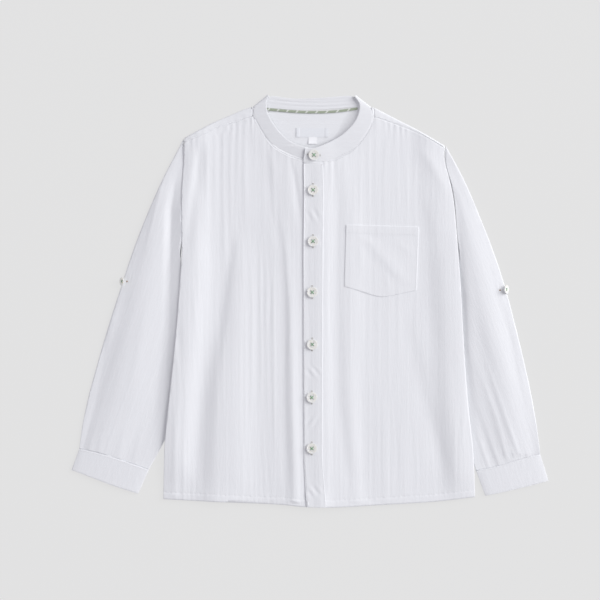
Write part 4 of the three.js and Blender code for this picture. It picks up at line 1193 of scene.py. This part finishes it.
class SHIRT_OT_finishes(bpy.types.Operator):
    """Makes the finishes of the cloth, trims and buttons"""

    bl_idname = "shirt.finishes"
    bl_label = "Finishes"

    def execute(self, context):
        settings = piece_settings()
        white = tuple(settings.white)
        # pale holds the collar's white, darker all over than the body's by COLLAR_SHADE
        pale = tuple(COLLAR_SHADE * part for part in white)
        turn = math.radians(SLEEVE_TURN)
        across = math.radians(90)
        finishes["body"] = shirting_finish("shirting_body", white)
        finishes["left_sleeve"] = shirting_finish("shirting_left_sleeve", white, turn)
        finishes["right_sleeve"] = shirting_finish("shirting_right_sleeve", white, -turn)
        finishes["across"] = shirting_finish("shirting_across", white, across)
        finishes["tape"] = tape_finish(tuple(settings.tape), TAPE_STRIPE_COLOR)
        finishes["label"] = label_finish("label_cloth", LABEL_COLOR)
        finishes["tab"] = label_finish("size_tab_cloth", SIZE_TAB_COLOR)
        finishes["collar"] = shirting_finish("shirting_collar", pale, across)
        finishes["pearl"] = pearl_finish(tuple(settings.button))
        finishes["white_thread"] = thread_finish("white_thread", WHITE_THREAD_COLOR)
        finishes["green_thread"] = thread_finish("green_thread", tuple(settings.green))
        # Grey buttonhole thread: real stitches that also carry the painted shade of the slit
        finishes["hole_thread"] = thread_finish("buttonhole_thread", HOLE_THREAD_SLIT_SHADE_COLOR)
        finishes["tack_thread"] = thread_finish("tack_thread", TACK_THREAD_COLOR)
        return {"FINISHED"}


def yoke_relief(x, y):
    """The shoulder strips in front, swollen to the collar and puckered above their seams."""
    relief = 0.5 * streaks(y, x) + beside_collar(x, y)
    for seam in (LEFT_YOKE_SEAM, RIGHT_YOKE_SEAM):
        relief += gathers(seam, x, y, 8.1, 9, 0.22, -1)
        above, inside = over_seam(seam, x, y, 4)
        relief -= np.where(inside, 1.3 * ease(above, 0, 17), 0)
    return relief


class SHIRT_OT_back(bpy.types.Operator):
    """Makes the back panel and the yoke"""

    bl_idname = "shirt.back"
    bl_label = "Back and yoke"

    def execute(self, context):
        back = cloth_from("back_panel", "back_cloth", 2)
        shape_cloth(back, lambda x, y: 0.6 * streaks(x, y) + 0.12)
        yoke = cloth_from("yoke", "yoke_cloth", 2)
        shape_cloth(yoke, yoke_relief, 1.2, 2.4)
        for cloth in (back, yoke):
            smooth_by_angle(cloth, SMOOTH_ANGLE)
        put_on(back, finishes["body"])
        put_on(yoke, finishes["across"])
        dress(back, "back_panel")
        dress(yoke, "yoke")
        made.update(back=back, yoke=yoke)
        return {"FINISHED"}


def front_relief(x, y, strength):
    """A front's folds, streaks, gathers and the dent of its hem's stitches."""
    relief = folds(BODY_FOLDS, x, y) * piece_settings().fold_height * strength + streaks(x, y)
    relief += gathers(LEFT_YOKE_SEAM, x, y, 7.2, 13, 0.2)
    relief += gathers(RIGHT_YOKE_SEAM, x, y, 7.2, 13, 0.2)
    relief += gathers(NECK_SEAM[5:], x, y, 7.6, 14, 0.24)
    relief += gathers(RIGHT_NECK_SEAM[5:], x, y, 7.6, 14, 0.24)
    relief += seam_groove(HEM, x, y, HEM_WIDTH)
    return relief


def beside_placket(x, y):
    """The fronts swell up to the placket, and less under it, so that it stands on no step."""
    left, right = line_x(PLACKET_LEFT, y), line_x(PLACKET_RIGHT, y)
    rise = SWELL_LEFT * ease(x, left - SWELL_LEFT_REACH, left - 6)
    fall = (SWELL_LEFT - SWELL_RIGHT) * ease(x, left, right + 2)
    rise -= fall + SWELL_RIGHT * ease(x, right + 2, right + SWELL_RIGHT_REACH)
    under = ease(x, left + 0.5, left + 3) * (1 - ease(x, right - 3.2, right - 0.8))
    return rise * (1 - UNDER_PLACKET * under)


def beside_collar(x, y):
    """The cloth swells up to the collar's seam."""
    away = np.minimum(distance_to(NECK_SEAM, x, y)[0], distance_to(RIGHT_NECK_SEAM, x, y)[0])
    return NECK_SWELL * (1 - ease(away, 1, NECK_SWELL_REACH))


def side_lift(x, y):
    """The body's side edges stand up over the sleeves."""
    rise = np.zeros(x.shape)
    for side, height, reach in SIDE_LIFTS:
        lift = height * ease(y, -205, -60) * (1 - ease(y, 110, 165))
        rise += lift * np.exp(-((np.abs(x - line_x(side, y)) / reach) ** 2))
    return rise


class SHIRT_OT_fronts(bpy.types.Operator):
    """Makes the two fronts, creased and gathered"""

    bl_idname = "shirt.fronts"
    bl_label = "Fronts"

    def execute(self, context):
        for side, area in (("left", 0.0785), ("right", 0.084)):
            front = cloth_from(f"front_{side}", f"front_{side}_cloth", 2, finer_across=True)

            def relief(x, y):
                swell = np.maximum(beside_placket(x, y), beside_collar(x, y))
                return front_relief(x, y, FRONT_FOLDS[side]) + side_lift(x, y) + swell

            shape_cloth(front, relief)
            smooth_by_angle(front, SMOOTH_ANGLE)
            put_on(front, finishes["body"])
            dress(front, f"front_{side}")
            made[f"front_{side}"] = front
        return {"FINISHED"}


def tack_pucker(place, x, y):
    """The dimple and small radiating creases round the stitches that hold a roll-up tab."""
    away = np.hypot(x - place[0], y - place[1])
    turn = np.arctan2(y - place[1], x - place[0])
    dimple = -0.7 * np.exp(-((away / 2.6) ** 2))
    rays = 0.35 * np.cos(5 * turn + 0.6) * np.exp(-(((away - 4.2) / 2.2) ** 2))
    return dimple + rays


class SHIRT_OT_sleeves(bpy.types.Operator):
    """Makes the two sleeves, flattened and creased"""

    bl_idname = "shirt.sleeves"
    bl_label = "Sleeves"

    def execute(self, context):
        sides = (("left", LEFT_SLEEVE_FOLDS, 0.0565), ("right", RIGHT_SLEEVE_FOLDS, 0.0455))
        for side, rows, area in sides:
            sleeve = cloth_from(f"sleeve_{side}", f"sleeve_{side}_cloth", 2, finer_across=True)
            square_edge(sleeve, side)
            if side == "left":
                bend_cloth(sleeve, LEFT_WEDGE, 1.3, 2.4)

            def relief(x, y):
                creases = folds(rows, x, y)
                if side == "left":
                    creases += tuck(LEFT_SLEEVE_TUCK, x, y)
                drape = 0.6 * streaks(x, y, SLEEVE_SLANT[side])
                return creases * piece_settings().fold_height + drape + tack_pucker(TACKS[side], x, y)

            shape_cloth(sleeve, relief, 1.3, 2.6)
            smooth_by_angle(sleeve, SMOOTH_ANGLE)
            put_on(sleeve, finishes[f"{side}_sleeve"])
            dress(sleeve, f"sleeve_{side}")
            made[f"sleeve_{side}"] = sleeve
        return {"FINISHED"}


class SHIRT_OT_cuffs(bpy.types.Operator):
    """Makes the two cuffs"""

    bl_idname = "shirt.cuffs"
    bl_label = "Cuffs"

    def execute(self, context):
        for side in ("left", "right"):
            cuff = cloth_from(f"cuff_{side}", f"cuff_{side}_cloth", 3)
            shape_cloth(cuff, lambda x, y: 0.8 * streaks(x, y), 1.0, 3.0)
            smooth_by_angle(cuff, SMOOTH_ANGLE)
            put_on(cuff, finishes[f"{side}_sleeve"])
            dress(cuff, f"cuff_{side}")
            made[f"cuff_{side}"] = cuff
        return {"FINISHED"}


def collar_relief(x, y):
    """The under end swells up to the end that crosses it, and the back is softly ribbed."""
    step = np.interp(y, (165.6, 183.2), (-8.5, -4.3)) - 0.4
    under = UNDER_END_SWELL * ease(x, step - 34, step - 3) * (x < step) * (y < 186)
    up = y - line_y(TAPE_LINE, x)
    grooves = 0.22 * np.exp(-(((up - 6) / 1.0) ** 2)) + 0.2 * np.exp(-(((up - 11.3) / 0.9) ** 2))
    ribs = 0.1 * np.sin(up / 0.62 + x / 30) * ease(up, 1, 4)
    back = (y > 222) & (np.abs(x - 2) < 52)
    return under + np.where(back, ribs - grooves, 0)


class SHIRT_OT_collar(bpy.types.Operator):
    """Makes the standing collar band"""

    bl_idname = "shirt.collar"
    bl_label = "Collar band"

    def execute(self, context):
        band = cloth_from("collar_band", "collar_cloth", 3)
        shape_cloth(band, collar_relief)
        smooth_by_angle(band, SMOOTH_ANGLE)
        put_on(band, finishes["collar"])
        dress(band, "collar_band")
        made["collar"] = band
        return {"FINISHED"}


def placket_relief(x, y):
    """Short slanting puckers between some of the buttons and above the hem. The sewn side
    lies a little higher, on the front that it covers."""
    left, right = line_x(PLACKET_LEFT, y), line_x(PLACKET_RIGHT, y)
    relief = 0.7 * streaks(x, y) + PLACKET_LIFT * ease(x, left + 5, right - 5)
    for middle, slant in PLACKET_PUCKERS:
        wave = np.sin((x + slant * (y - middle)) / 1.7)
        relief += 0.34 * wave * np.exp(-(((y - middle) / 6) ** 2)) * np.exp(-(((x - 4) / 9) ** 2))
    return relief


def pocket_relief(x, y):
    """The pocket follows the front under it, with slanting creases of its own."""
    front = front_relief(x, y, FRONT_FOLDS["right"]) + beside_placket(x, y)
    return front + folds(POCKET_FOLDS, x, y) - POCKET_SINK


class SHIRT_OT_placket(bpy.types.Operator):
    """Makes the front placket and the chest pocket"""

    bl_idname = "shirt.placket"
    bl_label = "Placket and pocket"

    def execute(self, context):
        strip = cloth_from("placket", "placket_cloth", 3)
        shape_cloth(strip, placket_relief)
        pocket = cloth_from("pocket", "pocket_cloth", 3)
        shape_cloth(pocket, pocket_relief)
        for cloth in (strip, pocket):
            smooth_by_angle(cloth, SMOOTH_ANGLE)
            put_on(cloth, finishes["body"])
        dress(strip, "placket")
        dress(pocket, "pocket")
        made.update(placket=strip, pocket=pocket)
        return {"FINISHED"}


def thin_cloth(name, point_at, across, down, wall):
    """A thin closed piece of cloth. point_at(u, v), both from 0 to 1, gives its top."""
    form = bmesh.new()
    layers = []
    for depth in (0, wall):
        grid = []
        for row in range(down + 1):
            points = [point_at(column / across, row / down) for column in range(across + 1)]
            grid.append([form.verts.new((x * MM, y * MM, (z - depth) * MM)) for x, y, z in points])
        layers.append(grid)
    for grid in layers:
        for upper, lower in zip(grid[:-1], grid[1:]):
            for column in range(across):
                form.faces.new((upper[column], upper[column + 1], lower[column + 1], lower[column]))
    rims = []
    for grid in layers:
        left = [row[0] for row in grid[1:-1]]
        right = [row[-1] for row in grid[1:-1]]
        rims.append(grid[0] + right + grid[-1][::-1] + left[::-1])
    for index in range(len(rims[0])):
        after = (index + 1) % len(rims[0])
        form.faces.new((rims[0][index], rims[0][after], rims[1][after], rims[1][index]))
    bmesh.ops.recalc_face_normals(form, faces=form.faces[:])
    mesh = bpy.data.meshes.new(name)
    form.to_mesh(mesh)
    form.free()
    cloth = link_piece(name, mesh)
    smooth_by_angle(cloth, SMOOTH_ANGLE)
    return cloth


def tape_point(u, v):
    """The tape's top, along its line and slightly domed across."""
    x = TAPE_START + TAPE_LENGTH * u
    return x, line_y(TAPE_LINE, x) + TAPE_WIDTH * (0.5 - v), 2.15 + 0.2 * math.sin(math.pi * v)


def label_point(u, v):
    """The main label, its two ends turned under, so that they stand a little higher."""
    (left, bottom), (right, top) = MAIN_LABEL
    x = left + (right - left) * u
    ends = 1 - ease(min(x - left, right - x), 3.2, 4.0)
    return x, top + (bottom - top) * v, 1.38 + 0.22 * ends + 0.08 * math.sin(5 * u + 2 * v)


def tab_point(u, v):
    """The size tab, hanging from the main label with its lower end off the cloth."""
    (left, bottom), (right, top) = SIZE_TAB
    lift = 0.9 * v * v * (1.15 - 0.3 * u)
    return left + (right - left) * u, top + (bottom - top) * v, 1.3 + lift


class SHIRT_OT_trims(bpy.types.Operator):
    """Makes the neck tape and the two bare labels"""

    bl_idname = "shirt.trims"
    bl_label = "Neck tape and labels"

    def execute(self, context):
        forms = {
            "neck_tape": (tape_point, 84, 6, TAPE_WALL),
            "main_label": (label_point, 48, 12, LABEL_WALL),
            "size_label": (tab_point, 12, 12, LABEL_WALL),
        }
        trims = (
            ("neck_tape", "tape", "neck_tape", (0.126, 0.01), 0.0004, "collar_cloth"),
            ("main_label", "label", "label", (0.044, 0.011), None, "yoke_cloth"),
            ("size_label", "tab", "label", (0.01, 0.01), None, "yoke_cloth"),
        )
        for node, finish, slot, flat, area, rests_on in trims:
            piece = thin_cloth(f"{node}_cloth", *forms[node])
            put_on(piece, finishes[finish])
            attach(piece, "root")
            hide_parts(node)
        return {"FINISHED"}


class SHIRT_OT_seams(bpy.types.Operator):
    """Closes the seams between the pieces with their turned edges"""

    bl_idname = "shirt.seams"
    bl_label = "Seams"

    def execute(self, context):
        tree = surface_of(list(made.values()))
        seams = (
            ("yoke", LEFT_YOKE_SEAM, 0.15), ("yoke", RIGHT_YOKE_SEAM, 0.15),
            ("collar", NECK_SEAM, 0.12), ("collar", RIGHT_NECK_SEAM, 0.12),
            ("placket", COLLAR_END, 0.12), ("sleeve_left", LEFT_ARMHOLE, 0.3),
            ("cuff_left", LEFT_CUFF_SEAM, 0.15), ("cuff_right", RIGHT_CUFF_SEAM, 0.15),
        )
        strips = [
            (piece, strip_along(line, tree, depth, piece.startswith("cuff")))
            for piece, line, depth in seams
        ]
        strips.append(("collar", inner_side(NECK_INSIDE, tree, 0.3)))
        for piece, strip in strips:
            join_strip(made[piece], strip)
        return {"FINISHED"}


class SHIRT_OT_stitching(bpy.types.Operator):
    """Sews the rows of white stitches and the buttonholes"""

    bl_idname = "shirt.stitching"
    bl_label = "Stitching"

    def execute(self, context):
        tree = surface_of(list(made.values()))
        rows = {
            "collar_stitches": [beside(NECK_SEAM, -2.0), beside(RIGHT_NECK_SEAM, 2.0)],
            "yoke_stitches": [beside(LEFT_YOKE_SEAM, 1.6), beside(RIGHT_YOKE_SEAM, 1.6)],
            "placket_stitches": [beside(PLACKET_LEFT, 1.7), beside(PLACKET_RIGHT, -1.5)],
            "pocket_stitches": [beside(POCKET_EDGE[1:], -1.3), POCKET_HEM],
            "hem_stitches": [beside(HEM[:4], HEM_WIDTH), beside(HEM[4:], HEM_WIDTH)],
            "cuff_stitches": [
                beside(LEFT_CUFF_SEAM, -1.8), beside(LEFT_CUFF_EDGE, 1.6),
                beside(RIGHT_CUFF_SEAM, 1.8), beside(RIGHT_CUFF_EDGE, -1.6),
            ],
        }
        for name, lines in rows.items():
            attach(sew(name, lines, tree, finishes["white_thread"]), "root")
        holes = [line for place in BUTTONHOLES for line in buttonhole(*place)]
        tacks = [line for place in TACKS.values() for line in tack_lines(place)]
        threads = (
            ("buttonholes", holes, HOLE_THREAD_RADIUS, "hole_thread"),
            ("tab_tacks", tacks, TACK_THREAD_RADIUS, "tack_thread"),
        )
        for name, lines, radius, thread in threads:
            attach(lay_strands(name, lines, tree, radius, finishes[thread]), "root")
        return {"FINISHED"}


class SHIRT_OT_buttons(bpy.types.Operator):
    """Models one button and copies it to each button's place, sewn on with green thread"""

    bl_idname = "shirt.buttons"
    bl_label = "Buttons"

    def execute(self, context):
        pattern = model_button()
        thread = model_cross_thread()
        models = ((pattern, "pearl", "pearl"), (thread, "thread", "green_thread"))
        for name in sorted(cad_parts):
            if "button" not in name:
                continue
            place = button_place(name, *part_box(name))
            for model, title, finish in models:
                copy = link_piece(f"{name}_{title}", model.data.copy())
                copy.data.transform(place)
                put_on(copy, finishes[finish])
                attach(copy, "root")
                if model is pattern:
                    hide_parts(name)
        for model in (pattern, thread):
            bpy.data.objects.remove(model)
        return {"FINISHED"}


class SHIRT_OT_stage(bpy.types.Operator):
    """Sets the pale table, the soft light and the camera"""

    bl_idname = "shirt.stage"
    bl_label = "Table, light and camera"

    def execute(self, context):
        deselect()
        bpy.ops.mesh.primitive_plane_add(size=TABLE_SIZE, location=(0, 0, -TABLE_DROP))
        table = bpy.context.object
        table.name = "table"
        bpy.ops.object.transform_apply(location=True, rotation=True, scale=True)
        put_on(table, floor_finish(TABLE_COLOR))
        world = bpy.data.worlds.new("soft room")
        world.use_nodes = True
        world.node_tree.nodes["Background"].inputs[0].default_value = ROOM_COLOR
        world.node_tree.nodes["Background"].inputs[1].default_value = ROOM_STRENGTH
        context.scene.world = world
        add_panel("key", KEY_PLACE, KEY_SIZE, KEY_POWER)
        camera_data = bpy.data.cameras.new("camera")
        camera_data.lens = CAMERA_LENS
        camera_data.sensor_width = CAMERA_SENSOR
        camera = link_piece("camera", camera_data)
        camera.location = CAMERA_PLACE
        context.scene.camera = camera
        context.scene.view_settings.view_transform = "Standard"
        context.scene.view_settings.look = "None"
        return {"FINISHED"}


def add_panel(name, place, size, power):
    """A large soft light that faces the shirt. Its place and size are in metres."""
    data = bpy.data.lights.new(name, "AREA")
    data.shape = "SQUARE"
    data.size = size
    data.energy = power
    panel = link_piece(name, data)
    panel.location = place
    panel.rotation_euler = (-Vector(place)).to_track_quat("-Z", "Y").to_euler()


class SHIRT_PT_panel(bpy.types.Panel):
    """Lists the shirt's pieces"""

    bl_idname = "SHIRT_PT_panel"
    bl_label = "Band collar shirt"
    bl_space_type = "VIEW_3D"
    bl_region_type = "UI"
    bl_category = "Shirt"

    def draw(self, context):
        for name in ("white", "tape", "button", "green", "fold_height"):
            self.layout.prop(context.scene.shirt_cloth, name)
        for step in STEPS:
            self.layout.operator(step.bl_idname)


STEPS = [
    SHIRT_OT_stage,
    SHIRT_OT_finishes,
    SHIRT_OT_back,
    SHIRT_OT_fronts,
    SHIRT_OT_sleeves,
    SHIRT_OT_cuffs,
    SHIRT_OT_collar,
    SHIRT_OT_placket,
    SHIRT_OT_trims,
    SHIRT_OT_seams,
    SHIRT_OT_stitching,
    SHIRT_OT_buttons,
]
CLASSES = [ShirtCloth, *STEPS, SHIRT_PT_panel]


def register():
    for item in CLASSES:
        bpy.utils.register_class(item)
    bpy.types.Scene.shirt_cloth = bpy.props.PointerProperty(type=ShirtCloth)


def unregister():
    del bpy.types.Scene.shirt_cloth
    for item in reversed(CLASSES):
        bpy.utils.unregister_class(item)


def main():
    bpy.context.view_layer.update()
    register()
    for step in STEPS:
        group, action = step.bl_idname.split(".")
        getattr(getattr(bpy.ops, group), action)()


if __name__ == "__main__":
    main()
